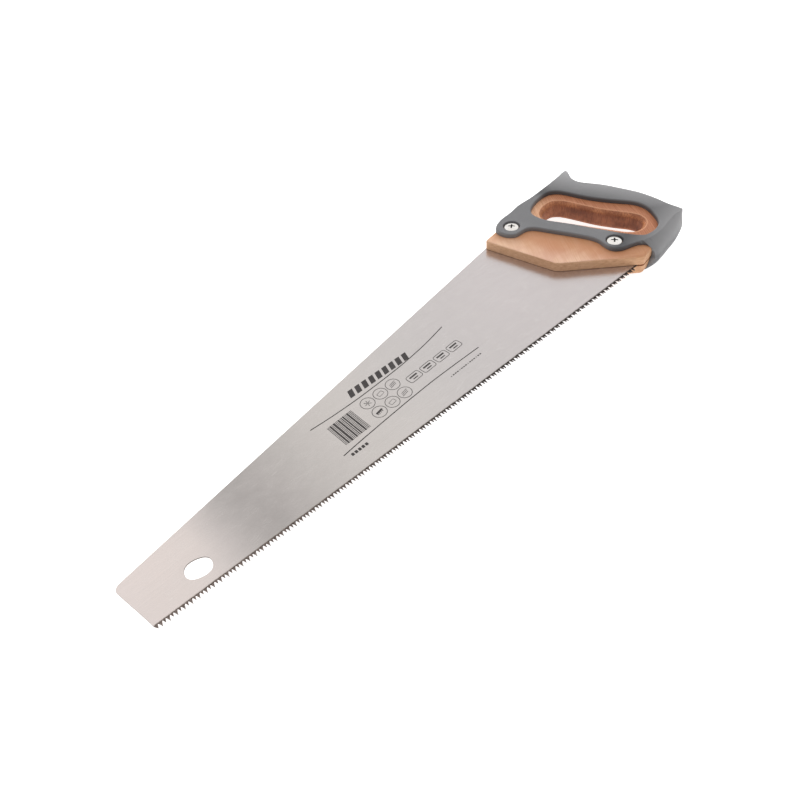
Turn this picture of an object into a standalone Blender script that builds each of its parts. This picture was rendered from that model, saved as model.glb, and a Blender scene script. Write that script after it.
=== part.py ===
"""Hand saw: toothed steel blade, beech handle with a soft grip moulded round it,
and two screws with sleeve nuts that clamp the handle on the blade.

Frame: the saw lies flat on its far (-Z) side. Origin on the flat outer face of
the grip, at the resting point DATUM. +X runs from toe to handle along the tooth
line, +Y from the teeth to the blade's back, +Z is the blade's normal, up from
the resting face.

The dimensions and outlines below are laid out in millimetres from the heel end
of the line through the tooth tips, in the blade's middle plane; place() moves
them into the frame. The saw is symmetric about that plane, apart from its
fasteners and the toe-ward end of the grip's heel.
"""
import math

import bmesh
import bpy
import numpy as np

MM = 0.001                  # metres in a millimetre

# ------------------------------------------------------------ blade dimensions
TOOTH_PITCH = 25.4 / 10     # ten teeth to the inch
TOOTH_COUNT = 177           # tips on the toothed edge
TOOTH_DEPTH = 2.8
TOOTH_RAKE = 0.55           # where the tip stands in its pitch, 0.5 is upright
TOE_X = -447.1              # toe end of the toothed edge
BREAST_X = -250.0           # lowest point of the tips, on a slightly bowed edge
BREAST_Y = -1.6
BREAST_RISE = 0.55          # rise of the tips BREAST_SPAN away from that point
BREAST_SPAN = 200.0
BLADE_T = 0.9               # blade thickness
BACK_SLOPE = 0.1774         # rise of the blade's back per unit of x
BACK_Y0 = 122.6             # where the line of the back crosses x = 0
BACK_STEP = 3.5             # run in x from the end of the tang to the back
TOE_TOP_X = -453.9          # corner between the back and the toe edge
TOE_CORNER_R = 5.0
TOE_EDGE = ((-451.2, 26.0), (-449.3, 14.8))  # bends of the toe edge
TOE_OVERHANG = 0.25         # reach of the toe edge's lower end past TOE_X
HANG_HOLE = (-408.1, 17.1)  # centre of the oval hang hole
HANG_HOLE_AXES = (9.2, 7.1)  # its half axes
HANG_HOLE_TILT = -16.0      # degrees, long axis against +X
HANG_HOLE_POWER = 0.86      # 1 is an ellipse, less is squarer
HANG_HOLE_STEPS = 40
BLADE_CUT_Z = 3.0           # half height of the blade's cutters

# ------------------------------------------------------------ handle dimensions
CORE_HALF_T = 9.0           # half thickness of the wooden handle
GRIP_HALF_T = 13.0          # half thickness of the moulded grip
GAP = 0.3                   # clearance between neighbouring pieces
HAND_HOLE_ROUND = 4.5       # rounding of the hand hole's rim on each wooden face
DATUM = (56.0, 94.0, -GRIP_HALF_T)  # the frame's origin in the layout

# ------------------------------------------------------------ fastener dimensions
SCREWS = ((-30.2, 106.4), (9.8, 27.8))
FASTENER_TURN = 38.0        # degrees, turn of the cross recesses and slots
HEAD_R = 12.5 / 2           # screw head and nut head
HEAD_SEAT = CORE_HALF_T + GAP        # height of the heads' undersides
HEAD_RIM_T = 2.6            # thickness of the head at its rim
HEAD_RIM_Z = HEAD_SEAT + HEAD_RIM_T  # height the dome rises from
HEAD_DOME = 1.0             # height of the dome above the rim
HEAD_TOP = HEAD_RIM_Z + HEAD_DOME
HEAD_BEVEL = 0.25           # bevel under the rim
HEAD_RIM_DROP = 0.15        # drop of the rim's edge below the dome's foot
DOME_ANGLES = (46, 36, 24, 12, 0)    # degrees, these space the dome's rings
DOME_FULL_ANGLE = 50        # the angle that would reach the rim
RECESS_R = 14.5 / 2         # hole in the grip round each head
RECESS_FLARE = 0.6          # bevel at its mouth
RECESS_OUTER_FLARE = 0.9    # widening of its cutter 1 mm outside the grip
SHANK_R = 4.2 / 2
SHANK_END = -7.0            # where the bevel at the shank's end begins
SHANK_BEVEL = 0.6
SLEEVE_R = 7.0 / 2          # barrel of the sleeve nut
SLEEVE_BORE_R = 4.9 / 2
SLEEVE_TOP = 4.5            # inner end of the barrel
SLEEVE_BEVEL = 0.4
BORE_FLOOR = SHANK_END - 1.0  # wall end of the bore's blind floor
BORE_FLOOR_DIP = 0.6        # depth of the cone in that floor
BOLT_HOLE_R = SLEEVE_R + GAP
CROSS_R = 2.6               # reach of the cross recess
CROSS_W = 1.05
CROSS_DEPTH = 1.35
CROSS_TOP_SCALE = 1.12      # scale of the cross 1 mm above the dome
CROSS_FLOOR_SCALE = 0.62    # and at its floor
SLOT_HALF_W = 0.6           # slot across the nut's head
SLOT_HALF_L = HEAD_R + 1.0
SLOT_BELOW_RIM = 0.1        # depth of the slot's floor past the dome's foot

# ------------------------------------------------------------ mesh resolution
ARC_STEPS = 6               # most segments in a fillet
ARC_DEG = 14                # largest turn of one segment, while ARC_STEPS allows
TURNED_STEPS = 28
SHARP_DEG = 35              # edges sharper than this are shaded sharp
CORE_SIDE = 6.0             # longest side in the plan of the wooden handle
HAND_HOLE_STEP = 7.0        # sample spacing of the smooth outlines
GRIP_STEP = 5.0

# ------------------------------------------------------------ design outlines
# Wooden handle in plan: (x, y, fillet radius). The first run is the bare nose,
# the rest lies under the grip.
CORE_OUTLINE = (
    (-57.2, 112.5, 2.6), (-42.8, 47.5, 0.8), (-40.0, 43.4, 1.0), (11.4, -1.6, 4.5),
    (27.5, 1.6, 1.5), (50.0, 3.4, 30.0), (78.6, 14.6, 4.0), (83.0, 40.0, 40.0),
    (77.0, 76.0, 40.0), (63.0, 106.0, 18.0), (62.6, 117.6, 6.0), (65.4, 126.6, 2.5),
    (40.0, 123.4, 30.0), (0.0, 119.4, 40.0), (-28.0, 116.6, 12.0),
)
# Edge rounding of the wooden faces at chosen points: (x, y, width); the width
# of any other point blends between them by distance
CORE_EDGES = (
    (-57.0, 112.0, 1.4), (-42.8, 47.0, 0.8), (-16.0, 22.0, 1.0), (11.4, -1.4, 2.6),
    (26.0, 2.0, 3.0), (60.0, 60.0, 1.0),
)
# Rim of the hand hole on the wooden faces: (x, y)
HAND_HOLE_RIM = (
    (-2.4, 94.0), (-1.0, 100.6), (3.2, 106.0), (10.0, 109.8), (19.0, 111.8), (27.4, 110.6),
    (33.2, 105.4), (37.0, 97.2), (39.8, 88.0), (42.4, 79.0), (45.4, 70.0), (49.0, 61.8),
    (53.2, 53.2), (57.4, 45.0), (59.4, 36.0), (56.6, 27.8), (49.8, 22.8), (41.6, 21.4),
    (34.2, 23.6), (28.8, 29.2), (24.6, 37.0), (20.6, 45.4), (16.6, 54.0), (12.6, 62.8),
    (8.6, 71.6), (4.6, 80.0), (0.4, 87.6),
)
# Opening of the grip round the hand hole: (x, y)
GRIP_OPENING = (
    (-5.2, 98.0), (-4.2, 105.6), (0.0, 110.6), (8.0, 114.8), (17.0, 117.2), (25.5, 118.0),
    (33.4, 116.4), (38.6, 111.4), (41.4, 105.0), (44.0, 96.4), (48.0, 84.6), (52.0, 76.0),
    (56.0, 68.2), (60.6, 60.6), (65.0, 53.4), (67.6, 46.4), (67.6, 39.0), (65.4, 32.2),
    (62.0, 25.8), (58.0, 19.8), (52.8, 15.0), (46.0, 12.6), (38.0, 12.2), (32.0, 13.6),
    (28.0, 18.0), (24.2, 24.6), (20.8, 31.6), (17.8, 39.2), (14.6, 46.8), (11.4, 54.6),
    (8.2, 62.8), (4.8, 71.0), (1.0, 79.2), (-2.8, 87.2), (-4.4, 92.0),
)
# Edge of that opening: (widening, height against the grip's face)
OPENING_EDGE = ((2.2, 1.0), (1.2, 0.0), (0.35, -0.4), (0.0, -1.4))
# Moulded grip in plan at the middle plane, as rows of
# (x, y, width of the rounding, its height, sweep of the rounding in degrees,
#  corner?, shift of the face edge in x and y, extra shift of the far half in x and y)
# A row may leave out its shifts, which are then zero.
GRIP_OUTLINE = (
    (-43.8, 107.6, 1.4, 1.6, 90, 0), (-43.2, 111.8, 1.4, 1.6, 90, 0),
    (-41.2, 114.9, 1.6, 2.0, 90, 0), (-36.6, 118.4, 2.0, 2.6, 90, 0),
    (-30.0, 120.9, 2.2, 3.0, 90, 0), (-15.0, 122.7, 2.4, 3.4, 90, 0),
    (-2.0, 125.0, 2.4, 3.4, 90, 0), (14.0, 125.2, 2.6, 4.0, 90, 0),
    (30.0, 126.7, 2.8, 5.0, 90, 0), (46.0, 128.8, 3.2, 7.0, 90, 0),
    (60.0, 131.2, 3.6, 9.0, 90, 0), (67.4, 132.4, 3.4, 10.0, 90, 0),
    (71.7, 131.3, 2.8, 11.0, 90, 0), (72.5, 127.5, 3.2, 12.0, 90, 0),
    (70.3, 122.3, 4.2, 12.5, 90, 0), (67.6, 117.1, 5.4, 13.0, 90, 0),
    (67.2, 111.2, 6.6, 13.0, 90, 0), (71.2, 103.0, 7.6, 13.0, 90, 0),
    (76.6, 94.0, 8.4, 13.0, 90, 0), (80.2, 85.2, 8.6, 13.0, 90, 0),
    (83.0, 76.2, 8.6, 13.0, 90, 0), (85.6, 67.4, 8.4, 13.0, 90, 0),
    (87.8, 58.4, 8.2, 13.0, 90, 0), (88.9, 48.4, 8.0, 13.0, 90, 0),
    (88.8, 37.6, 7.4, 13.0, 90, 0), (87.4, 27.0, 5.8, 13.0, 86, 0),
    (85.9, 18.4, 3.2, 13.0, 74, 0), (84.5, 11.6, 1.3, 13.0, 60, 1),
    (79.5, 7.5, 5.4, 13.0, 54, 0), (71.7, 4.3, 7.8, 13.0, 52, 0),
    (61.1, 0.9, 9.2, 13.0, 52, 0), (46.0, -2.0, 9.4, 13.0, 52, 0),
    (34.0, -4.0, 11.0, 13.0, 56, 0, 0.0, 0.6, -1.0, -1.0),
    (28.0, -4.6, 10.0, 13.0, 58, 0, 0.0, 3.0, -2.6, -1.4),
    (25.0, -3.4, 2.0, 13.0, 60, 0, -1.6, 11.2, -5.2, -2.0),
    (25.0, 1.8, 1.2, 13.0, 60, 0, -2.6, 8.0, -8.6, -3.0),
    (24.4, 6.0, 1.2, 13.0, 60, 0, -3.2, 4.4, -10.0, -2.4),
    (20.6, 10.6, 1.2, 1.4, 90, 0, 0.0, 0.0, -8.0, -0.8),
    (12.4, 13.9, 1.2, 1.4, 90, 0, 0.0, 0.0, -1.4, 0.0), (5.4, 16.2, 1.2, 1.4, 90, 0),
    (0.6, 20.2, 1.2, 1.4, 90, 0), (-1.0, 25.4, 1.2, 1.4, 90, 0),
    (-0.2, 31.2, 1.2, 1.4, 90, 0), (1.2, 37.4, 1.2, 1.4, 90, 0),
    (0.0, 45.6, 1.2, 1.4, 90, 0), (-3.2, 54.0, 1.2, 1.4, 90, 0),
    (-6.8, 62.6, 1.2, 1.4, 90, 0), (-10.4, 70.6, 1.2, 1.4, 90, 0),
    (-14.0, 78.4, 1.2, 1.4, 90, 0), (-17.4, 86.2, 1.2, 1.4, 90, 0),
    (-20.2, 90.8, 1.2, 1.4, 90, 0), (-24.2, 93.8, 1.2, 1.4, 90, 0),
    (-30.6, 94.6, 1.2, 1.4, 90, 0), (-37.0, 95.2, 1.2, 1.4, 90, 0),
    (-41.4, 99.2, 1.2, 1.4, 90, 0),
)
# End of the blade inside the kerf of the wood: (x, y)
BLADE_TANG = (
    (4.6, 1.8), (15.5, 3.2), (18.6, 20.0), (17.6, 30.0), (-17.0, 107.0),
    (-22.0, 113.2), (-41.0, 113.8),
)
# Kerf of the wood, open past the handle's toe-ward edge: (x, y)
KERF_OUTLINE = (
    (-75.0, -8.0), (32.0, -8.0), (24.0, 9.0), (19.8, 20.2), (18.8, 30.4), (-15.9, 107.6),
    (-21.2, 114.4), (-38.5, 116.0), (-40.0, 135.0), (-75.0, 135.0),
)


# ------------------------------------------------------------ outline helpers
def signed_area(points):
    x, y = points[:, 0], points[:, 1]
    return 0.5 * float(np.sum(x * np.roll(y, -1) - np.roll(x, -1) * y))


def smooth_outline(control, step, corners=None):
    """Closed smooth outline through the control points, sampled about every
    `step`. Extra columns are carried along. corners[i] marks a point where the
    outline keeps a sharp corner."""
    knots = np.array(control, float)
    count = len(knots)
    corners = corners or [0] * count
    length = [np.linalg.norm(knots[(i + 1) % count, :2] - knots[i, :2]) for i in range(count)]

    def tangent(i, outgoing):
        before, here, after = knots[i - 1], knots[i], knots[(i + 1) % count]
        len_in, len_out = length[i - 1], length[i]
        if corners[i]:
            return (after - here) / len_out if outgoing else (here - before) / len_in
        return (((after - here) / len_out * len_in + (here - before) / len_in * len_out)
                / (len_in + len_out))

    samples = []
    for i in range(count):
        j = (i + 1) % count
        steps = max(1, int(round(length[i] / step)))
        start, end = tangent(i, True) * length[i], tangent(j, False) * length[i]
        for k in range(steps):
            u = k / steps                         # cubic Hermite blend
            samples.append((2*u**3 - 3*u**2 + 1) * knots[i] + (u**3 - 2*u**2 + u) * start
                           + (-2*u**3 + 3*u**2) * knots[j] + (u**3 - u**2) * end)
    return np.array(samples)


def fillet_outline(control):
    """Closed polygon with rounded corners from (x, y, radius) points."""
    count = len(control)
    out = []
    for i in range(count):
        before, here, after = (np.array(control[(i + k) % count][:2], float)
                               for k in (-1, 0, 1))
        radius = control[i][2]
        len_in, len_out = np.linalg.norm(before - here), np.linalg.norm(after - here)
        back, ahead = (before - here) / len_in, (after - here) / len_out
        half = math.acos(max(-1.0, min(1.0, float(back @ ahead)))) / 2
        if radius <= 0 or half > math.radians(89.5):    # sharp, or all but straight
            out.append(here)
            continue
        setback = min(radius / math.tan(half), 0.49 * len_in, 0.49 * len_out)
        radius = setback * math.tan(half)
        bisector = (back + ahead) / np.linalg.norm(back + ahead)
        centre = here + bisector * (radius / math.sin(half))
        start, end = (math.atan2(*(here + way * setback - centre)[::-1])
                      for way in (back, ahead))
        turn = (end - start + math.pi) % (2 * math.pi) - math.pi
        steps = max(1, min(ARC_STEPS, int(math.ceil(abs(turn) / math.radians(ARC_DEG)))))
        for k in range(steps + 1):
            angle = start + turn * k / steps
            out.append(centre + radius * np.array((math.cos(angle), math.sin(angle))))
    return np.array(out)


def split_long(points, longest):
    """The same closed polygon with its long sides split."""
    out = []
    for start, end in zip(points, np.roll(points, -1, 0)):
        steps = max(1, int(math.ceil(np.linalg.norm(end - start) / longest)))
        out += [start + (end - start) * k / steps for k in range(steps)]
    return np.array(out)


def inward(points):
    """Unit inward normals of a closed outline, lengthened at its corners."""
    plan = points[:, :2]
    side_in = plan - np.roll(plan, 1, 0)
    side_out = np.roll(plan, -1, 0) - plan
    side_in /= np.linalg.norm(side_in, axis=1)[:, None]
    side_out /= np.linalg.norm(side_out, axis=1)[:, None]
    sign = 1.0 if signed_area(plan) > 0 else -1.0
    normal_in = np.stack((-side_in[:, 1], side_in[:, 0]), 1) * sign
    normal_out = np.stack((-side_out[:, 1], side_out[:, 0]), 1) * sign
    mean = normal_in + normal_out
    mean /= np.linalg.norm(mean, axis=1)[:, None]
    cosine = np.clip(np.sum(mean * normal_in, axis=1), 0.6, 1.0)
    return mean / cosine[:, None]


def turn_about(centre, points, degrees):
    """Points given about a centre, turned and moved to it."""
    cos, sin = math.cos(math.radians(degrees)), math.sin(math.radians(degrees))
    return np.array([(centre[0] + x * cos - y * sin, centre[1] + x * sin + y * cos)
                     for x, y in points])


def mirrored(rings):
    """Rings of the upper or lower half, followed by their mirror images in z."""
    return rings + [(points, -z) for points, z in rings[::-1]]


# ------------------------------------------------------------ mesh helpers
def place(x, y, z):
    """A layout point in millimetres as a point of the frame in metres."""
    return ((x - DATUM[0]) * MM, (y - DATUM[1]) * MM, (z - DATUM[2]) * MM)


def stack(rings):
    """Closed bmesh from a stack of rings, each (points in plan, z or array of z)."""
    shape = bmesh.new()
    loops = []
    for points, z in rings:
        heights = np.broadcast_to(np.asarray(z, float), (len(points),))
        loops.append([shape.verts.new(place(p[0], p[1], height))
                      for p, height in zip(points, heights)])
    count = len(loops[0])
    for low, high in zip(loops, loops[1:]):
        for i in range(count):
            j = (i + 1) % count
            shape.faces.new((low[i], low[j], high[j], high[i]))
    bmesh.ops.triangulate(shape, faces=shape.faces[:])      # its quads can be twisted
    shape.faces.new(loops[0][::-1])
    shape.faces.new(loops[-1])
    return shape


def prism(points, z_start, z_end):
    return stack([(points, z_start), (points, z_end)])


def turned(profile, centre):
    """Closed bmesh turned about the z axis from (radius, z) points; the first
    and the last point lie on the axis."""
    shape = bmesh.new()
    rings = []
    for radius, z in profile:
        if radius <= 1e-9:
            rings.append([shape.verts.new(place(*centre, z))])
            continue
        angles = [2 * math.pi * k / TURNED_STEPS for k in range(TURNED_STEPS)]
        rings.append([shape.verts.new(place(centre[0] + radius * math.cos(angle),
                                            centre[1] + radius * math.sin(angle), z))
                      for angle in angles])
    for low, high in zip(rings, rings[1:]):
        for k in range(TURNED_STEPS):
            j = (k + 1) % TURNED_STEPS
            if len(low) == 1:
                shape.faces.new((low[0], high[k], high[j]))
            elif len(high) == 1:
                shape.faces.new((low[k], high[0], low[j]))
            else:
                shape.faces.new((low[k], high[k], high[j], low[j]))
    return shape


def material(name, colour, rough, metal=0.0):
    mat = bpy.data.materials.new(name)
    mat.use_nodes = True
    inputs = mat.node_tree.nodes["Principled BSDF"].inputs
    inputs["Base Color"].default_value = (*colour, 1.0)
    inputs["Roughness"].default_value = rough
    inputs["Metallic"].default_value = metal
    mat.diffuse_color = (*colour, 1.0)
    return mat


def add_object(name, shape, mat=None, smooth=False):
    bmesh.ops.recalc_face_normals(shape, faces=shape.faces)
    mesh = bpy.data.meshes.new(name)
    shape.to_mesh(mesh)
    shape.free()
    obj = bpy.data.objects.new(name, mesh)
    bpy.context.scene.collection.objects.link(obj)
    if mat:
        mesh.materials.append(mat)
    if smooth:
        mesh.shade_smooth()
        mesh.set_sharp_from_angle(angle=math.radians(SHARP_DEG))
    return obj


def cut(obj, name, shape):
    """Cut a shape out of an object, through a hidden cutter object."""
    cutter = add_object("cutter_" + name, shape)
    cutter.hide_render = True
    cutter.display_type = 'WIRE'
    modifier = obj.modifiers.new("cut_" + cutter.name, 'BOOLEAN')
    modifier.operation = 'DIFFERENCE'
    modifier.solver = 'EXACT'
    modifier.object = cutter


def cut_bolt_holes(obj, label, half_height):
    for i, centre in enumerate(SCREWS, 1):
        profile = ((0, -half_height), (BOLT_HOLE_R, -half_height),
                   (BOLT_HOLE_R, half_height), (0, half_height))
        cut(obj, "%s_bolt_%d" % (label, i), turned(profile, centre))


# ------------------------------------------------------------ blade
def back_y(x):
    return BACK_Y0 + BACK_SLOPE * x


def tip_y(x):
    return BREAST_Y + BREAST_RISE * ((x - BREAST_X) / BREAST_SPAN) ** 2


def blade_outline():
    points = []
    for k in range(TOOTH_COUNT):                  # toothed edge, toe to heel
        x = TOE_X + k * TOOTH_PITCH
        tip_x, root_x = x + TOOTH_RAKE * TOOTH_PITCH, x + TOOTH_PITCH
        points += [(tip_x, tip_y(tip_x)), (root_x, tip_y(root_x) + TOOTH_DEPTH)]
    points += BLADE_TANG
    join_x = BLADE_TANG[-1][0] - BACK_STEP
    join = (join_x, back_y(join_x))
    points.append(join)
    toe_corner = fillet_outline(((*join, 0), (TOE_TOP_X, back_y(TOE_TOP_X), TOE_CORNER_R),
                                 (*TOE_EDGE[0], 0)))
    points += [tuple(p) for p in toe_corner[1:-1]]
    points += TOE_EDGE
    points.append((TOE_X - TOE_OVERHANG, tip_y(TOE_X) + TOOTH_DEPTH))
    return np.array(points)


def hang_hole_outline():
    oval = []
    for k in range(HANG_HOLE_STEPS):
        angle = 2 * math.pi * k / HANG_HOLE_STEPS
        oval.append([half_axis * math.copysign(abs(part) ** HANG_HOLE_POWER, part)
                     for half_axis, part in zip(HANG_HOLE_AXES,
                                                (math.cos(angle), math.sin(angle)))])
    return turn_about(HANG_HOLE, oval, HANG_HOLE_TILT)


def build_blade(mat):
    blade = add_object("blade", prism(blade_outline(), -BLADE_T / 2, BLADE_T / 2), mat)
    cut(blade, "hang_hole", prism(hang_hole_outline(), -BLADE_CUT_Z, BLADE_CUT_Z))
    cut_bolt_holes(blade, "blade", BLADE_CUT_Z)


# ------------------------------------------------------------ wooden handle
def core_rings(grow):
    """Rings of the wooden handle, or of the pocket it needs in the grip."""
    plan = split_long(fillet_outline(CORE_OUTLINE), CORE_SIDE)
    normals = inward(plan)
    edges = np.array(CORE_EDGES)
    # the added 4 mm2 keeps the weight finite where a point meets its station
    distance_sq = ((plan[:, None, :] - edges[None, :, :2]) ** 2).sum(2) + 4.0
    weight = distance_sq ** -2
    width = (weight * edges[None, :, 2]).sum(1) / weight.sum(1)
    rings = []
    for degrees in (90, 45, 0):
        angle = math.radians(degrees)
        inset = width * (1 - math.cos(angle)) - grow
        rings.append((plan + normals * inset[:, None],
                      CORE_HALF_T - width * (1 - math.sin(angle)) + grow))
    return mirrored(rings)


def hand_hole():
    """Cutter flared past the faces, with a rounded rim and a straight middle."""
    rim = smooth_outline(HAND_HOLE_RIM, HAND_HOLE_STEP)
    normals = inward(rim)
    rings = [(rim - normals * 1.5, -CORE_HALF_T - 1.5), (rim - normals * 0.02, -CORE_HALF_T)]
    for degrees in (30, 60, 90):
        angle = math.radians(degrees)
        rings.append((rim + normals * HAND_HOLE_ROUND * math.sin(angle),
                      -CORE_HALF_T + HAND_HOLE_ROUND * (1 - math.cos(angle))))
    return stack(mirrored(rings))


def build_core(mat):
    core = add_object("handle_core", stack(core_rings(0.0)), mat, smooth=True)
    cut(core, "hand_hole", hand_hole())
    kerf_half = BLADE_T / 2 + GAP
    cut(core, "kerf", prism(KERF_OUTLINE, -kerf_half, kerf_half))
    cut_bolt_holes(core, "core", CORE_HALF_T + 3)


# ------------------------------------------------------------ moulded grip
def grip_rings():
    rows = [row + (0.0,) * (10 - len(row)) for row in GRIP_OUTLINE]
    grip = smooth_outline([row[:5] + row[6:] for row in rows], GRIP_STEP,
                          [row[5] for row in rows])
    normals = inward(grip)
    plan, face_shift, far_shift = grip[:, :2], grip[:, 5:7], grip[:, 7:9]
    # the smoothing may overshoot, so the rounding is held in range
    width = np.clip(grip[:, 2], 1.0, None)
    height = np.clip(grip[:, 3], 1.0, GRIP_HALF_T - 0.01)
    sweep = np.radians(np.clip(grip[:, 4], 50, 90))
    rings = []
    for part in (1.0, 0.8, 0.6, 0.4, 0.2, 0.0):   # from the face to the side
        angle = sweep * part
        inset = width * (1 - np.cos(angle)) / (1 - np.cos(sweep))
        z = GRIP_HALF_T - height + height * np.sin(angle) / np.sin(sweep)
        shift = face_shift * (inset / width)[:, None]
        rings.append((plan + normals * inset[:, None] + shift, z))
    far = [(points + far_shift * np.minimum(z / CORE_HALF_T, 1.0)[:, None], -z)
           for points, z in rings[::-1]]
    return rings + far


def grip_opening():
    outline = smooth_outline(GRIP_OPENING, GRIP_STEP)
    normals = inward(outline)
    return stack(mirrored([(outline - normals * widening, GRIP_HALF_T + height)
                           for widening, height in OPENING_EDGE]))


def build_grip(mat):
    grip = add_object("grip_overmould", stack(grip_rings()), mat, smooth=True)
    cut(grip, "grip_pocket", stack(core_rings(GAP)))
    cut(grip, "grip_opening", grip_opening())
    lower_half = [(0, -GRIP_HALF_T - 1), (RECESS_R + RECESS_OUTER_FLARE, -GRIP_HALF_T - 1),
                  (RECESS_R + RECESS_FLARE, -GRIP_HALF_T),
                  (RECESS_R, -GRIP_HALF_T + RECESS_FLARE)]
    for i, centre in enumerate(SCREWS, 1):
        cut(grip, "recess_%d" % i, turned(mirrored(lower_half), centre))


# ------------------------------------------------------------ fasteners
def head_profile():
    """(radius, z) points of a head, from its underside to the top of its dome."""
    profile = [(HEAD_R - HEAD_BEVEL, HEAD_SEAT), (HEAD_R, HEAD_SEAT + HEAD_BEVEL),
               (HEAD_R, HEAD_RIM_Z - HEAD_RIM_DROP)]
    for degrees in DOME_ANGLES:
        radius = (HEAD_R * math.sin(math.radians(degrees))
                  / math.sin(math.radians(DOME_FULL_ANGLE)))
        profile.append((radius, HEAD_RIM_Z + HEAD_DOME * (1 - (radius / HEAD_R) ** 2)))
    return profile


def cross_recess(centre):
    """Tapered plus-shaped recess of a cross-head screw."""
    rings = []
    for z, scale in ((HEAD_TOP + 1.0, CROSS_TOP_SCALE),
                     (HEAD_TOP - CROSS_DEPTH, CROSS_FLOOR_SCALE)):
        arm, half = CROSS_R * scale, CROSS_W / 2 * scale
        plus = [(arm, -half), (arm, half), (half, half), (half, arm), (-half, arm),
                (-half, half), (-arm, half), (-arm, -half), (-half, -half), (-half, -arm),
                (half, -arm), (half, -half)]
        rings.append((turn_about(centre, plus, FASTENER_TURN), z))
    return stack(rings)


def build_screw(number, centre, mat):
    profile = [(0, SHANK_END - SHANK_BEVEL), (SHANK_R - SHANK_BEVEL, SHANK_END - SHANK_BEVEL),
               (SHANK_R, SHANK_END), (SHANK_R, HEAD_SEAT)] + head_profile()
    screw = add_object("screw_%d" % number, turned(profile, centre), mat, smooth=True)
    cut(screw, "cross_%d" % number, cross_recess(centre))


def build_sleeve_nut(number, centre, mat):
    profile = [(radius, -z) for radius, z in head_profile()[::-1]]
    profile += [(SLEEVE_R, -HEAD_SEAT), (SLEEVE_R, SLEEVE_TOP - SLEEVE_BEVEL),
                (SLEEVE_R - SLEEVE_BEVEL, SLEEVE_TOP), (SLEEVE_BORE_R, SLEEVE_TOP),
                (SLEEVE_BORE_R, BORE_FLOOR), (0, BORE_FLOOR - BORE_FLOOR_DIP)]
    nut = add_object("sleeve_nut_%d" % number, turned(profile, centre), mat, smooth=True)
    corners = ((-SLOT_HALF_L, -SLOT_HALF_W), (SLOT_HALF_L, -SLOT_HALF_W),
               (SLOT_HALF_L, SLOT_HALF_W), (-SLOT_HALF_L, SLOT_HALF_W))
    cut(nut, "slot_%d" % number, prism(turn_about(centre, corners, FASTENER_TURN),
                                       -HEAD_TOP - 1.0, -HEAD_RIM_Z + SLOT_BELOW_RIM))


# ------------------------------------------------------------ build
for old in list(bpy.data.objects):
    bpy.data.objects.remove(old, do_unlink=True)

build_blade(material("blade_steel", colour=(0.60, 0.57, 0.55), rough=0.38, metal=1.0))
build_core(material("beech", colour=(0.72, 0.45, 0.27), rough=0.62))
build_grip(material("grip_grey", colour=(0.25, 0.255, 0.26), rough=0.55))
nickel = material("nickel", colour=(0.80, 0.78, 0.74), rough=0.22, metal=1.0)
for index, screw_centre in enumerate(SCREWS, 1):
    build_screw(index, screw_centre, nickel)
    build_sleeve_nut(index, screw_centre, nickel)
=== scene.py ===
"""A hand saw lying flat: blade, wooden handle, moulded grip, two screws with sleeve nuts.

The toe points to -x and the handle is at the +x end. The teeth face -y. The sheet of the
blade is square to z, and the camera looks at the +z face.
"""
import math

import bmesh
import bpy
import numpy as np
from mathutils import Matrix, Vector
from mathutils.geometry import delaunay_2d_cdt


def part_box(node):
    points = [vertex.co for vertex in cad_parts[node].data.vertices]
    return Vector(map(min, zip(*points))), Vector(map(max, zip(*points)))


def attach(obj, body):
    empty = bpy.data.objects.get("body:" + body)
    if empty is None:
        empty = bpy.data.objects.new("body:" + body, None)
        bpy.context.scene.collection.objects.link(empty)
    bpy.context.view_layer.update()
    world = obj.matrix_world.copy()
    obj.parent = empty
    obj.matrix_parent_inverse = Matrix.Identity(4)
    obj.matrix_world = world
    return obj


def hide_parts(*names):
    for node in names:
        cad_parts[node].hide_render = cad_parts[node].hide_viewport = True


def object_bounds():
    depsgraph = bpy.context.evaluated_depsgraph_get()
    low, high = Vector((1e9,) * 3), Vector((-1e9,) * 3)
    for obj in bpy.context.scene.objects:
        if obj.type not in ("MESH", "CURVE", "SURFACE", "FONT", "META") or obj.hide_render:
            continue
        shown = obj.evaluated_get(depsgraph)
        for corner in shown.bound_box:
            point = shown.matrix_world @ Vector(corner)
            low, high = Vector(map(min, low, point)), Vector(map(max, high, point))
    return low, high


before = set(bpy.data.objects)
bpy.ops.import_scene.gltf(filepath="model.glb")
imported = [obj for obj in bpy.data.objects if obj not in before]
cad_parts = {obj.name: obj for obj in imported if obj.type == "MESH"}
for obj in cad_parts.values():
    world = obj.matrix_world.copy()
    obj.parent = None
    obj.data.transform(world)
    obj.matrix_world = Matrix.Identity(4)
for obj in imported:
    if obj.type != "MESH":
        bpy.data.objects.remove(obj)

CAD_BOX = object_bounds()

# ============================================================ layout
# Shapes are laid out in millimetres: x from the heel end of the line through the tooth
# tips, y up from that line, z from the blade's middle plane. The heel screw and the
# blade give the place of that layout in the frame.
MM = 0.001
HEEL_SCREW = (9.8, 27.8)
SCREWS = ((-30.2, 106.4), HEEL_SCREW)
screw_low, screw_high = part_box("screw_2")
blade_low, blade_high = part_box("blade")
ORIGIN = np.array(((screw_low.x + screw_high.x) / 2 / MM - HEEL_SCREW[0],
                   (screw_low.y + screw_high.y) / 2 / MM - HEEL_SCREW[1],
                   (blade_low.z + blade_high.z) / 2 / MM))

# blade
TOE_X = -447.1                  # toe end of the row of teeth
TOOTH_PITCH = 2.54
TOOTH_COUNT = 177
TOOTH_ROOT = 2.85 + 0.8         # height of the gullets above the line of the tips
TOOTH_SET = 0.30                # sideways lean of a tip
BLADE_HALF = 0.45               # half thickness
BLADE_CHAMFER = 0.13
BACK_Y0, BACK_SLOPE = 122.6, 0.1774
BACK_STEPS = 60
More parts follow.
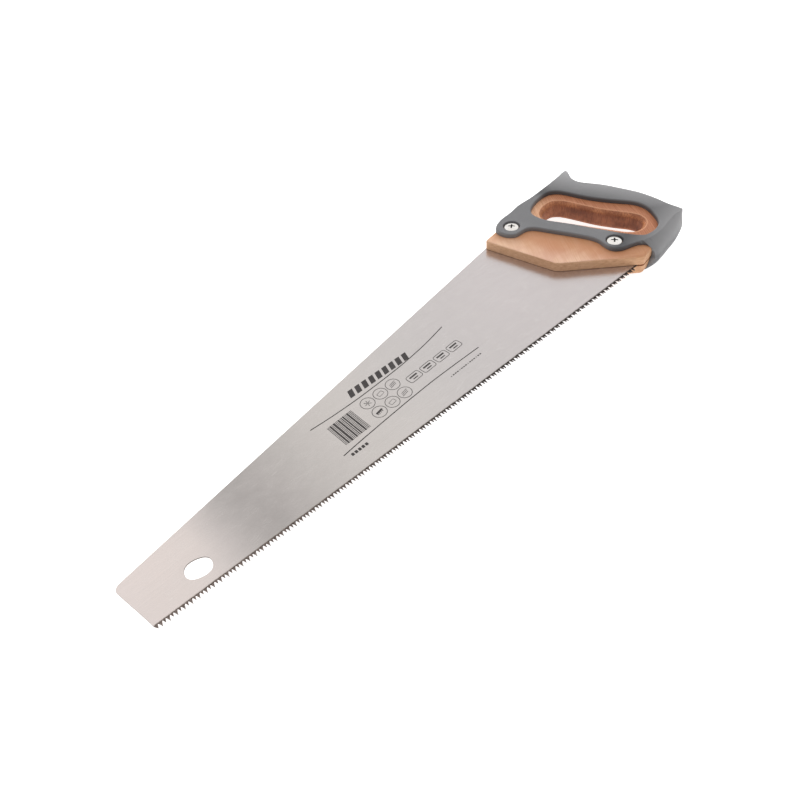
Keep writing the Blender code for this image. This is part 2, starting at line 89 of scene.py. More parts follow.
# the line of the tips is a parabola, lowest at (BOW_X, BOW_Y)
BOW_X, BOW_Y = -250.0, -1.6
BOW_RISE, BOW_SPAN = 0.55, 200.0
HANG_HOLE = (-408.1, 17.1)
HANG_HOLE_HALF = (8.9, 6.95)
HANG_HOLE_TURN = -16.0
HANG_HOLE_POWER = 0.86          # below 1 makes the oval squarer
HANG_HOLE_STEPS = 96

# handle, grip and fasteners
CORE_HALF_T = 9.0
GRIP_HALF_T = 13.0
GAP = 0.3                       # clearance between neighbouring pieces
HAND_HOLE_ROUND = 4.5
MOULD_LINE = 0.10               # the mould line stands this far off the grip's side
SLEEVE_R = 3.5
RECESS_R = 7.25
HOLE_STEPS = 40
RECESS_STEPS = 72
HEAD_R = 6.25
HEAD_STEPS = 96
HEAD_SEAT = CORE_HALF_T + GAP
HEAD_TOP = HEAD_SEAT + 2.6
DOME_RISE = 1.0
DRIVER_TURN = 38                # degrees, for the cross and the slot

# x, y of the blade outline inside the handle, from the teeth to the back
BLADE_TANG = ((4.6, 1.8), (15.5, 3.2), (18.6, 20.0), (17.6, 30.0), (-17.0, 107.0),
              (-22.0, 113.2), (-41.0, 113.8))
# x, y of the cut that takes the blade in the wood
KERF_OUTLINE = (
    (-75.0, -8.0), (32.0, -8.0), (24.0, 9.0), (19.8, 20.2), (18.8, 30.4), (-15.9, 107.6),
    (-21.2, 114.4), (-38.5, 116.0), (-40.0, 135.0), (-75.0, 135.0),
)
# x, y, corner radius
CORE_OUTLINE = (
    (-57.2, 112.5, 2.6), (-42.8, 47.5, 1.4), (-40.0, 43.4, 1.5), (11.4, -1.6, 4.5),
    (27.5, 1.6, 14.0), (50.0, 3.4, 30.0), (78.6, 14.6, 4.0), (83.0, 40.0, 40.0),
    (77.0, 76.0, 40.0), (63.0, 106.0, 18.0), (62.6, 117.6, 6.0), (65.4, 126.6, 2.5),
    (40.0, 123.4, 30.0), (0.0, 119.4, 40.0), (-28.0, 116.6, 12.0),
)
# x, y, radius of the rounded edge near that point
CORE_EDGES = ((-57.0, 112.0, 1.4), (-42.8, 47.0, 0.7), (-16.0, 22.0, 1.0), (11.4, -1.4, 2.6),
              (26.0, 2.0, 3.0), (60.0, 60.0, 1.0))
# x, y of the hand hole where its rounding meets the flat faces
HAND_HOLE_RIM = (
    (-2.4, 94.0), (-1.0, 100.6), (3.2, 106.0), (10.0, 109.8), (19.0, 111.8), (27.4, 110.6),
    (33.2, 105.4), (37.0, 97.2), (39.8, 88.0), (42.4, 79.0), (45.4, 70.0), (49.0, 61.8),
    (53.2, 53.2), (57.4, 45.0), (59.4, 36.0), (56.6, 27.8), (49.8, 22.8), (41.6, 21.4),
    (34.2, 23.6), (28.8, 29.2), (24.6, 37.0), (20.6, 45.4), (16.6, 54.0), (12.6, 62.8),
    (8.6, 71.6), (4.6, 80.0), (0.4, 87.6),
)
# x, y of the opening in the grip round the hand hole
GRIP_OPENING = (
    (-5.2, 98.0), (-4.2, 105.6), (0.0, 110.6), (8.0, 114.8), (17.0, 117.2), (25.5, 118.0),
    (33.4, 116.4), (38.6, 111.4), (41.4, 105.0), (44.0, 96.4), (48.0, 84.6), (52.0, 76.0),
    (56.0, 68.2), (60.6, 60.6), (65.0, 53.4), (67.6, 46.4), (67.6, 39.0), (65.4, 32.2),
    (62.0, 25.8), (58.0, 19.8), (52.8, 15.0), (46.0, 12.6), (38.0, 12.2), (32.0, 13.6),
    (28.0, 18.0), (24.2, 24.6), (20.8, 31.6), (17.8, 39.2), (14.6, 46.8), (11.4, 54.6),
    (8.2, 62.8), (4.8, 71.0), (1.0, 79.2), (-2.8, 87.2), (-4.4, 92.0),
)
# x, y, width and height of the rounded edge, degrees of arc it sweeps, 1 at a sharp
# corner, x and y shift of the top of the edge, x and y shift added on the -z side.
# Missing columns come from GRIP_DEFAULTS.
GRIP_DEFAULTS = (0, 0, 0, 0, 90, 0, 0, 0, 0, 0)
GRIP_OUTLINE = (
    (-43.8, 107.6, 1.4, 1.6), (-43.2, 111.8, 1.4, 1.6), (-41.2, 114.9, 1.6, 2.0),
    (-36.6, 118.4, 2.0, 2.6), (-30.0, 120.9, 2.2, 3.0), (-15.0, 122.7, 2.4, 3.4),
    (-2.0, 125.0, 2.4, 3.4), (14.0, 125.2, 2.6, 4.0), (30.0, 126.7, 2.8, 5.0),
    (46.0, 128.8, 3.2, 7.0), (60.0, 131.2, 3.6, 9.0), (67.4, 132.4, 3.4, 10.0),
    (71.7, 131.3, 2.8, 11.0), (72.5, 127.5, 3.2, 12.0), (70.3, 122.3, 4.2, 12.5),
    (67.6, 117.1, 5.4, 13.0), (67.2, 111.2, 6.6, 13.0), (71.2, 103.0, 7.6, 13.0),
    (76.6, 94.0, 8.4, 13.0), (80.2, 85.2, 8.6, 13.0), (83.0, 76.2, 8.6, 13.0),
    (85.6, 67.4, 8.4, 13.0), (87.8, 58.4, 8.2, 13.0), (88.9, 48.4, 8.0, 13.0),
    (88.8, 37.6, 7.4, 13.0), (87.4, 27.0, 5.8, 13.0, 86), (85.9, 18.4, 3.2, 13.0, 74),
    (84.5, 11.6, 1.3, 13.0, 60, 1), (79.5, 7.5, 5.4, 13.0, 54), (71.7, 4.3, 7.8, 13.0, 52),
    (61.1, 0.9, 9.2, 13.0, 52), (46.0, -2.0, 9.4, 13.0, 52),
    (34.0, -4.0, 11.0, 13.0, 56, 0, 0.0, 0.6, -1.0, -1.0),
    (28.0, -4.6, 10.0, 13.0, 58, 0, 0.0, 3.0, -2.6, -1.4),
    (25.0, -3.4, 2.0, 13.0, 60, 0, -1.6, 11.2, -5.2, -2.0),
    (25.0, 1.8, 1.2, 13.0, 60, 0, -2.6, 8.0, -8.6, -3.0),
    (24.4, 6.0, 1.2, 13.0, 60, 0, -3.2, 4.4, -10.0, -2.4),
    (20.6, 10.6, 1.2, 1.4, 90, 0, 0.0, 0.0, -8.0, -0.8),
    (12.4, 13.9, 1.2, 1.4, 90, 0, 0.0, 0.0, -1.4, 0.0), (5.4, 16.2, 1.2, 1.4),
    (0.6, 20.2, 1.2, 1.4), (-1.0, 25.4, 1.2, 1.4), (-0.2, 31.2, 1.2, 1.4),
    (1.2, 37.4, 1.2, 1.4), (0.0, 45.6, 1.2, 1.4), (-3.2, 54.0, 1.2, 1.4),
    (-6.8, 62.6, 1.2, 1.4), (-10.4, 70.6, 1.2, 1.4), (-14.0, 78.4, 1.2, 1.4),
    (-17.4, 86.2, 1.2, 1.4), (-20.2, 90.8, 1.2, 1.4), (-24.2, 93.8, 1.2, 1.4),
    (-30.6, 94.6, 1.2, 1.4), (-37.0, 95.2, 1.2, 1.4), (-41.4, 99.2, 1.2, 1.4),
)


# ============================================================ outline helpers
def signed_area(points):
    x, y = points[:, 0], points[:, 1]
    return 0.5 * float(np.sum(x * np.roll(y, -1) - np.roll(x, -1) * y))


def smooth_outline(table, step, corners=None):
    """A smooth closed curve through the table's rows; every column is interpolated."""
    rows = np.array(table, float)
    count = len(rows)
    corners = corners or [0] * count
    lengths = [np.linalg.norm(rows[(i + 1) % count, :2] - rows[i, :2]) for i in range(count)]

    def tangent(i, outgoing):
        before, here, after = rows[i - 1], rows[i], rows[(i + 1) % count]
        d0, d1 = lengths[i - 1], lengths[i]
        if corners[i]:
            return (after - here) / d1 if outgoing else (here - before) / d0
        return ((after - here) / d1 * d0 + (here - before) / d0 * d1) / (d0 + d1)

    out = []
    for i in range(count):
        j = (i + 1) % count
        steps = max(1, int(round(lengths[i] / step)))
        t0, t1 = tangent(i, True) * lengths[i], tangent(j, False) * lengths[i]
        for s in range(steps):
            u = s / steps
            h00, h10 = 2*u**3 - 3*u**2 + 1, u**3 - 2*u**2 + u
            h01, h11 = -2*u**3 + 3*u**2, u**3 - u**2
            out.append(h00*rows[i] + h10*t0 + h01*rows[j] + h11*t1)
    return np.array(out)


def fillet_outline(table, arc_step):
    """A polygon of x, y, radius rows with its corners rounded, arc_step in degrees."""
    count = len(table)
    out = []
    for i in range(count):
        before, here, after = (np.array(table[(i + k) % count][:2], float) for k in (-1, 0, 1))
        radius = table[i][2]
        to_before, to_after = before - here, after - here
        room = 0.49 * np.linalg.norm(to_before), 0.49 * np.linalg.norm(to_after)
        u = to_before / np.linalg.norm(to_before)
        v = to_after / np.linalg.norm(to_after)
        half = math.acos(max(-1.0, min(1.0, float(u @ v)))) / 2
        if radius <= 0 or half > math.radians(89.5):
            out.append(here)
            continue
        cut = min(radius / math.tan(half), *room)
        radius = cut * math.tan(half)
        bisector = (u + v) / np.linalg.norm(u + v)
        centre = here + bisector * (radius / math.sin(half))
        start = math.atan2(*(here + u * cut - centre)[::-1])
        end = math.atan2(*(here + v * cut - centre)[::-1])
        sweep = (end - start + math.pi) % (2 * math.pi) - math.pi
        steps = max(1, int(math.ceil(abs(sweep) / math.radians(arc_step))))
        for s in range(steps + 1):
            angle = start + sweep * s / steps
            out.append(centre + radius * np.array((math.cos(angle), math.sin(angle))))
    return np.array(out)


def split_long(points, longest):
    out = []
    for start, end in zip(points, np.roll(points, -1, 0)):
        steps = max(1, int(math.ceil(np.linalg.norm(end - start) / longest)))
        out += [start + (end - start) * s / steps for s in range(steps)]
    return np.array(out)


def inward(points):
    """Mitred directions into a closed outline, one for each point."""
    plan = points[:, :2]
    before = plan - np.roll(plan, 1, 0)
    after = np.roll(plan, -1, 0) - plan
    before = before / np.linalg.norm(before, axis=1)[:, None]
    after = after / np.linalg.norm(after, axis=1)[:, None]
    sign = 1.0 if signed_area(plan) > 0 else -1.0
    n0 = np.stack((-before[:, 1], before[:, 0]), 1) * sign
    n1 = np.stack((-after[:, 1], after[:, 0]), 1) * sign
    mitre = n0 + n1
    mitre /= np.linalg.norm(mitre, axis=1)[:, None]
    shrink = np.clip(np.sum(mitre * n0, axis=1), 0.6, 1.0)
    return mitre / shrink[:, None]


def untangle(outline):
    """The same closed outline with its small loops and folds relaxed away."""
    ring, count = outline.copy(), len(outline)

    def turn(p, q, w):
        return ((q[:, 0] - p[:, 0]) * (w[:, 1] - p[:, 1])
                - (q[:, 1] - p[:, 1]) * (w[:, 0] - p[:, 0]))

    for _ in range(120):
        bad = np.zeros(count, bool)
        a, b = ring, np.roll(ring, -1, 0)
        for k in range(2, 14):
            c, d = np.roll(ring, -k, 0), np.roll(ring, -k - 1, 0)
            hit = (turn(a, b, c) * turn(a, b, d) <= 0) & (turn(c, d, a) * turn(c, d, b) <= 0)
            for i in np.nonzero(hit)[0]:
                bad[np.arange(i, i + k + 2) % count] = True
        edge = b - a
        length = np.linalg.norm(edge, axis=1) + 1e-9
        turned_by = np.sum(edge * np.roll(edge, -1, 0), axis=1) / (length * np.roll(length, -1))
        for i in np.nonzero(turned_by < -0.4)[0]:
            bad[np.arange(i, i + 3) % count] = True
        for i in np.nonzero(length < 0.05)[0]:
            bad[np.arange(i - 1, i + 3) % count] = True
        if not bad.any():
            break
        average = (np.roll(ring, 1, 0) + np.roll(ring, -1, 0)) / 2
        ring[bad] = 0.5 * ring[bad] + 0.5 * average[bad]
    return ring


def circle(centre, radius, steps):
    angle = np.arange(steps) * 2 * math.pi / steps
    return np.stack((centre[0] + radius * np.cos(angle), centre[1] + radius * np.sin(angle)), 1)


def turned_points(points, centre, degrees):
    """Points turned about zero, then moved to the centre."""
    cos, sin = math.cos(math.radians(degrees)), math.sin(math.radians(degrees))
    return [(centre[0] + x * cos - y * sin, centre[1] + x * sin + y * cos) for x, y in points]


def turned_box(centre, width, height, degrees, radius=0.0):
    if radius <= 0:
        points = [(-width/2, -height/2), (width/2, -height/2),
                  (width/2, height/2), (-width/2, height/2)]
    else:
        points = []
        for side_x, side_y, start in ((1, -1, -90), (1, 1, 0), (-1, 1, 90), (-1, -1, 180)):
            for s in range(6):
                angle = math.radians(start + 90 * s / 5)
                points.append((side_x * (width/2 - radius) + radius * math.cos(angle),
                               side_y * (height/2 - radius) + radius * math.sin(angle)))
    return np.array(turned_points(points, centre, degrees))


def inside(polygon, points):
    """Which of the points lie inside the closed polygon."""
    x, y = points[:, 0][:, None], points[:, 1][:, None]
    x0, y0 = polygon[:, 0][None], polygon[:, 1][None]
    x1, y1 = np.roll(polygon[:, 0], -1)[None], np.roll(polygon[:, 1], -1)[None]
    crosses = (y0 > y) != (y1 > y)
    with np.errstate(divide='ignore', invalid='ignore'):
        hit = x < (x1 - x0) * (y - y0) / (y1 - y0) + x0
    return (np.sum(crosses & hit, axis=1) % 2) == 1


def both_faces(profile, *middle):
    """Rows of (anything, z), then the middle rows, then the rows again mirrored in z."""
    return profile + list(middle) + [(first, -z) for first, z in profile[::-1]]


# ============================================================ mesh helpers
def place(point, keep):
    """A layout point as a point of the frame in metres, kept inside the CAD box or not."""
    out = [(point[k] + ORIGIN[k]) * MM for k in range(3)]
    if keep:
        out = [min(max(c, low), high) for c, low, high in zip(out, CAD_BOX[0], CAD_BOX[1])]
    return out


class Build:
    """Collects points and faces in layout millimetres."""

    def __init__(self):
        self.points, self.faces = [], []

    def add(self, x, y, z):
        self.points.append((float(x), float(y), float(z)))
        return len(self.points) - 1

    def loop(self, outline, z):
        heights = np.broadcast_to(np.asarray(z, float), (len(outline),))
        return [self.add(p[0], p[1], height) for p, height in zip(outline, heights)]

    def bridge(self, a, b):
        """Triangles between two loops, along the shorter diagonals."""
        for i in range(len(a)):
            j = (i + 1) % len(a)
            pa, pb, pc, pd = (np.array(self.points[k]) for k in (a[i], a[j], b[j], b[i]))
            if np.linalg.norm(pa - pc) <= np.linalg.norm(pb - pd):
                self.faces += [(a[i], a[j], b[j]), (a[i], b[j], b[i])]
            else:
                self.faces += [(a[i], a[j], b[i]), (a[j], b[j], b[i])]

    def tube(self, rings, hole=False):
        """Loops at the (outline, z) rings, bridged in order or, for a hole, back to front."""
        loops = [self.loop(outline, z) for outline, z in rings]
        for first, second in zip(loops, loops[1:]):
            if hole:
                self.bridge(second, first)
            else:
                self.bridge(first, second)
        return loops

    def solid(self, rings):
        loops = self.tube(rings)
        self.plate(loops[0])
        self.plate(loops[-1])

    def plate(self, outer, holes=(), extra=()):
        """Fills the flat region inside the outer loop, outside the holes. The extra
        loops only add points."""
        ids, flat, edges = [], [], []
        for loop in (outer, *holes, *extra):
            base = len(ids)
            ids += loop
            flat += [Vector(self.points[i][:2]) for i in loop]
            edges += [(base + k, base + (k + 1) % len(loop)) for k in range(len(loop))]
        result = delaunay_2d_cdt(flat, edges, [], 0, 1e-6)
        source = {k: ids[src[0]] for k, src in enumerate(result[3]) if src}
        triangles = np.array([[source.get(k, -1) for k in face] for face in result[2]])
        if (triangles < 0).any():
            raise RuntimeError("outlines cross in a plate")
        plan = np.array([p[:2] for p in self.points])
        middle = plan[triangles].mean(axis=1)
        keep = inside(plan[list(outer)], middle)
        for hole in holes:
            keep &= ~inside(plan[list(hole)], middle)
        self.faces += [tuple(t) for t in triangles[keep]]

    def piece(self, name, material, sharp=35):
        bm = bmesh.new()
        verts = [bm.verts.new(place(p, material is not None)) for p in self.points]
        for face in self.faces:
            if len(set(face)) == len(face):
                try:
                    bm.faces.new([verts[i] for i in face])
                except ValueError:      # the same face is there already
                    pass
        loose = [v for v in bm.verts if not v.link_faces]
        bmesh.ops.delete(bm, geom=loose, context='VERTS')
        bmesh.ops.recalc_face_normals(bm, faces=bm.faces)
        mesh = bpy.data.meshes.new(name)
        bm.to_mesh(mesh)
        bm.free()
        ob = bpy.data.objects.new(name, mesh)
        bpy.context.scene.collection.objects.link(ob)
        if material is not None:
            mesh.materials.append(material)
        shade(ob, sharp)
        return ob

    def cutter(self, name):
        return self.piece(name, None, sharp=None)


def prism(name, outline, z0, z1):
    build = Build()
    build.solid([(outline, z0), (outline, z1)])
    return build.cutter(name)


def read_vectors(items, attribute):
    flat = np.zeros(len(items) * 3, np.float32)
    items.foreach_get(attribute, flat)
    return flat.reshape(-1, 3)


def shade(ob, sharp=35, flat_levels=()):
    """Smooth shading with edges above `sharp` degrees kept; None is flat shading. Faces
    square to z at the flat levels, on either side of the middle plane, stay flat."""
    mesh = ob.data
    if sharp is None:
        mesh.shade_flat()
        return
    mesh.shade_smooth()
    mesh.set_sharp_from_angle(angle=math.radians(sharp))
    if flat_levels:
        z = read_vectors(mesh.polygons, "center")[:, 2] / MM - ORIGIN[2]
        square = np.abs(read_vectors(mesh.polygons, "normal")[:, 2]) > 0.9995
        flat = np.zeros(len(z), bool)
        for level in flat_levels:
            flat |= square & (np.abs(np.abs(z) - level) < 0.02)
        mesh.polygons.foreach_set("use_smooth", ~flat)
    mesh.update()


def carve(ob, cutter):
    """Cuts the cutter out of the object and removes the cutter."""
    cut = ob.modifiers.new("cut", 'BOOLEAN')
    cut.operation = 'DIFFERENCE'
    cut.solver = 'EXACT'
    cut.object = cutter
    depsgraph = bpy.context.evaluated_depsgraph_get()
    depsgraph.update()
    mesh = bpy.data.meshes.new_from_object(ob.evaluated_get(depsgraph))
    ob.modifiers.clear()
    old, cutter_mesh = ob.data, cutter.data
    ob.data = mesh
    bpy.data.meshes.remove(old)
    mesh.name = ob.name
    bpy.data.objects.remove(cutter, do_unlink=True)
    bpy.data.meshes.remove(cutter_mesh)
    bm = bmesh.new()
    bm.from_mesh(mesh)
    bmesh.ops.remove_doubles(bm, verts=bm.verts, dist=2e-6)
    bmesh.ops.dissolve_degenerate(bm, edges=bm.edges, dist=1e-6)
    bmesh.ops.triangulate(bm, faces=[f for f in bm.faces if len(f.verts) > 3])
    bmesh.ops.recalc_face_normals(bm, faces=bm.faces)
    bm.to_mesh(mesh)
    bm.free()


def turned(name, profile, centre, material):
    """A solid of revolution; the profile is (radius, z) from axis to axis."""
    build = Build()
    rings = []
    for radius, z in profile:
        if radius <= 1e-9:
            rings.append([build.add(centre[0], centre[1], z)])
        else:
            rings.append(build.loop(circle(centre, radius, HEAD_STEPS), z))
    for p, q in zip(rings, rings[1:]):
        for k in range(HEAD_STEPS):
            j = (k + 1) % HEAD_STEPS
            if len(p) == 1:
                build.faces.append((p[0], q[k], q[j]))
            elif len(q) == 1:
                build.faces.append((p[k], q[0], p[j]))
            else:
                build.faces.append((p[k], q[k], q[j], p[j]))
    return build.piece(name, material)


# ============================================================ material helpers
def linear(colour):
    """An sRGB colour of 0 to 255 as a linear RGBA colour."""
    def channel(c):
        c /= 255.0
        return c / 12.92 if c <= 0.04045 else ((c + 0.055) / 1.055) ** 2.4
    return (*(channel(c) for c in colour), 1.0)


class Shader:
    """A material under construction. Colours are sRGB, 0 to 255. Patterns take their
    frequency per layout millimetre in x, y and z, after a turn in degrees about z."""

    def __init__(self, name):
        self.material = bpy.data.materials.new(name)
        self.material.use_nodes = True
        self.tree = self.material.node_tree
        coordinates = self.node('ShaderNodeTexCoord')
        to_layout = self.node('ShaderNodeMapping')
        to_layout.inputs['Location'].default_value = tuple(-ORIGIN)
        to_layout.inputs['Scale'].default_value = (1 / MM, 1 / MM, 1 / MM)
        self.link(coordinates.outputs['Object'], to_layout.inputs['Vector'])
        self.point = to_layout.outputs['Vector']

    def node(self, kind):
        return self.tree.nodes.new(kind)

    def link(self, output, socket):
        self.tree.links.new(output, socket)

    def put(self, value, socket):
        if isinstance(value, bpy.types.NodeSocket):
            self.link(value, socket)
        else:
            socket.default_value = linear(value) if isinstance(value, tuple) else value

    def split(self, vector):
        node = self.node('ShaderNodeSeparateXYZ')
        self.link(vector, node.inputs[0])
        return node.outputs

    def normal_z(self):
        return self.split(self.node('ShaderNodeNewGeometry').outputs['Normal'])[2]

    def math(self, operation, a, b=0.0, c=0.0):
        node = self.node('ShaderNodeMath')
        node.operation = operation
        for value, socket in zip((a, b, c), node.inputs):
            self.put(value, socket)
        return node.outputs[0]

    def plus(self, a, b):
        return self.math('ADD', a, b)

    def minus(self, a, b):
        return self.math('SUBTRACT', a, b)

    def times(self, a, b):
        return self.math('MULTIPLY', a, b)

    def size(self, value):
        return self.math('ABSOLUTE', value)

    def weighted(self, a, weight_a, b, weight_b):
        return self.plus(self.times(a, weight_a), self.times(b, weight_b))

    def sway(self, noise, reach):
        """The noise centred on zero and scaled to the reach."""
        return self.times(self.minus(noise, 0.5), reach)

    def remap(self, value, over, to=(0.0, 1.0), smooth=True):
        node = self.node('ShaderNodeMapRange')
        node.interpolation_type = 'SMOOTHSTEP' if smooth else 'LINEAR'
        names = ('Value', 'From Min', 'From Max', 'To Min', 'To Max')
        for number, name in zip((value, *over, *to), names):
            self.put(number, node.inputs[name])
        return node.outputs['Result']

    def mix(self, factor, a, b, blend='MIX'):
        node = self.node('ShaderNodeMix')
        node.data_type = 'RGBA'
        node.blend_type = blend
        for value, index in ((factor, 0), (a, 6), (b, 7)):
            self.put(value, node.inputs[index])
        return node.outputs[2]

    def fade(self, pattern, over, start, end):
        """From the start colour to the end colour while the pattern crosses a range."""
        return self.mix(self.remap(pattern, over), start, end)

    def tint(self, base, mask, strength, colour):
        return self.mix(self.times(mask, strength), base, colour)

    def layers(self, base, *rows):
        """Colours laid over the base. Each row is a pattern, its value where the colour
        starts, its value where it is full, the strength there, the colour."""
        for pattern, start, full, strength, colour in rows:
            base = self.mix(self.remap(pattern, (start, full), (0.0, strength)), base, colour)
        return base

    def ramp(self, value, low, high, stops):
        """Colours at given values between low and high."""
        node = self.node('ShaderNodeValToRGB')
        node.color_ramp.interpolation = 'B_SPLINE'
        elements = node.color_ramp.elements
        while len(elements) > 1:
            elements.remove(elements[-1])
        for i, (at, colour) in enumerate(stops):
            position = (at - low) / (high - low)
            element = elements[0] if i == 0 else elements.new(position)
            element.position = position
            element.color = linear(colour)
        self.link(self.remap(value, (low, high), smooth=False), node.inputs['Fac'])
        return node.outputs['Color']

    def stretch(self, per_mm, turn=0.0, along=None):
        rotate = self.node('ShaderNodeVectorRotate')
        rotate.rotation_type = 'Z_AXIS'
        self.link(along or self.point, rotate.inputs['Vector'])
        rotate.inputs['Angle'].default_value = -math.radians(turn)
        scale = self.node('ShaderNodeVectorMath')
        scale.operation = 'MULTIPLY'
        self.link(rotate.outputs[0], scale.inputs[0])
        scale.inputs[1].default_value = per_mm
        return scale.outputs[0]

    def noise(self, per_mm, detail=2.0, rough=0.5, turn=0.0, along=None):
        node = self.node('ShaderNodeTexNoise')
        self.link(self.stretch(per_mm, turn, along), node.inputs['Vector'])
        node.inputs['Scale'].default_value = 1.0
        node.inputs['Detail'].default_value = detail
        node.inputs['Roughness'].default_value = rough
        return node.outputs['Fac']

    def voronoi(self, per_mm, feature='F1', turn=0.0, along=None):
        node = self.node('ShaderNodeTexVoronoi')
        node.feature = feature
        self.link(self.stretch(per_mm, turn, along), node.inputs['Vector'])
        node.inputs['Scale'].default_value = 1.0
        return node.outputs['Distance']

    def bump(self, height, depth_mm, strength, under=None):
        node = self.node('ShaderNodeBump')
        node.inputs['Strength'].default_value = strength
        node.inputs['Distance'].default_value = depth_mm * MM
        self.link(height, node.inputs['Height'])
        if under is not None:
            self.link(under, node.inputs['Normal'])
        return node.outputs['Normal']

    def finish(self, **inputs):
        """Sets the Principled inputs, named with _ for a space."""
        for name, value in inputs.items():
            self.put(value, self.tree.nodes["Principled BSDF"].inputs[name.replace('_', ' ')])
        return self.material


# ============================================================ materials
# x along the blade, colour of the sheet with a painted reflection in it: bright at the toe, a dark
# painted band, lighter to the handle
STEEL_REFLECTION_TONES = (
    (-456.0, (238, 226, 222)), (-430.0, (237, 225, 220)), (-404.0, (234, 223, 218)),
    (-391.0, (217, 208, 205)), (-375.0, (187, 181, 178)), (-358.0, (171, 166, 163)),
    (-340.0, (184, 178, 175)), (-318.0, (196, 191, 187)), (-290.0, (209, 203, 199)),
    (-255.0, (215, 209, 205)), (-210.0, (211, 206, 204)), (-165.0, (209, 204, 203)),
    (-100.0, (214, 207, 207)), (0.0, (217, 210, 210)),
)


def steel_material():
    """Steel rolled and brushed along the blade, with a painted reflection along it and dark
    hardened teeth.
    """
    mat = Shader("saw_steel")
    x, y, _ = mat.split(mat.point)
    brush = mat.noise((0.05, 7.0, 1.0), detail=4, rough=0.65, turn=2)
    fine = mat.noise((0.22, 16.0, 1.0), turn=-1)
    cross = mat.noise((6.0, 0.12, 1.0))
    cloud = mat.noise((0.012, 0.02, 0.01), detail=3, turn=10)
    mottle = mat.noise((0.09, 0.13, 0.1), detail=4, rough=0.6)
    # painted reflection along the blade: the tone of the sheet follows x
    base = mat.ramp(mat.plus(x, mat.sway(cloud, reach=14)), -460.0, 20.0, STEEL_REFLECTION_TONES)
    base = mat.layers(base,
                      (cloud, 0.35, 0.68, 0.10, (196, 192, 190)),
                      (mottle, 0.3, 0.75, 0.10, (236, 230, 227)),
                      (brush, 0.30, 0.72, 0.16, (176, 171, 169)),
                      (fine, 0.52, 0.80, 0.22, (240, 236, 232)),
                      (cross, 0.62, 0.80, 0.10, (170, 166, 162)))
    # long scratches in two directions, in patches: frequency, turn, line width
    scratches = [
        mat.remap(mat.voronoi(per_mm, 'DISTANCE_TO_EDGE', turn),
                  over=(0.0, width), to=(1.0, 0.0), smooth=False)
        for per_mm, turn, width in (((0.02, 0.9, 0.5), 17, 0.012), ((0.03, 1.1, 0.5), -24, 0.010))]
    patches = mat.remap(mat.noise((0.03, 0.05, 0.1), turn=40), over=(0.56, 0.66))
    scratch = mat.times(mat.math('MAXIMUM', *scratches), patches)
    base = mat.tint(base, scratch, strength=0.35, colour=(244, 240, 236))
    # edges of the sheet are darker than its faces
    side = mat.remap(mat.size(mat.normal_z()), over=(0.55, 0.9), to=(1.0, 0.0))
    base = mat.tint(base, side, strength=0.92, colour=(74, 70, 68))
    # hardened teeth: a dark band above the bowed line of the tips, with an uneven border
    wobble = mat.noise((0.45, 0.3, 0.3), detail=3, rough=0.6)
    bow = mat.times(mat.plus(x, -BOW_X), 1 / BOW_SPAN)
    above_tips = mat.plus(mat.plus(y, -BOW_Y), mat.times(mat.times(bow, bow), -BOW_RISE))
    border = mat.plus(above_tips, mat.sway(wobble, reach=0.9))
    hard = mat.remap(border, over=(3.4, 4.1), to=(1.0, 0.0))
    temper = mat.remap(border, over=(3.7, 4.8), to=(1.0, 0.0))
    spark = mat.noise((0.9, 2.4, 1.3), detail=3, rough=0.6)
    toe_tone, heel_tone = (mat.fade(spark, (0.35, 0.72), dark, pale) for dark, pale in (
        ((86, 74, 68), (138, 124, 117)), ((36, 30, 28), (82, 71, 66))))
    tooth = mat.fade(x, (-430.0, -150.0), toe_tone, heel_tone)
    # painted glints: small light spots near the tips of the teeth
    tip_glint = mat.times(mat.remap(above_tips, over=(0.0, 1.3), to=(1.0, 0.0)),
                       mat.remap(spark, over=(0.50, 0.62)))
    tooth = mat.mix(tip_glint, tooth, (168, 160, 154))
    base = mat.tint(base, temper, strength=0.22, colour=(120, 104, 92))
    base = mat.mix(hard, base, tooth)
    rough = mat.plus(mat.remap(brush, over=(0.2, 0.8), to=(0.20, 0.27)),
                     mat.remap(mottle, over=(0.3, 0.7), to=(-0.02, 0.02)))
    rough = mat.plus(rough, mat.times(hard, 0.06))
    height = mat.weighted(brush, 0.6, fine, 0.4)
    height = mat.minus(height, mat.times(scratch, 0.8))
    normal = mat.bump(height, depth_mm=0.02, strength=0.35)
    normal = mat.bump(spark, depth_mm=0.12, strength=0.4, under=normal)
    metallic = mat.remap(hard, over=(0.0, 1.0), to=(0.92, 0.55), smooth=False)
    return mat.finish(Base_Color=base, Metallic=metallic, Roughness=rough, Normal=normal,
                      Anisotropic=0.25)


GRAIN_TURN = 58.0               # degrees from x to the grain of the wood


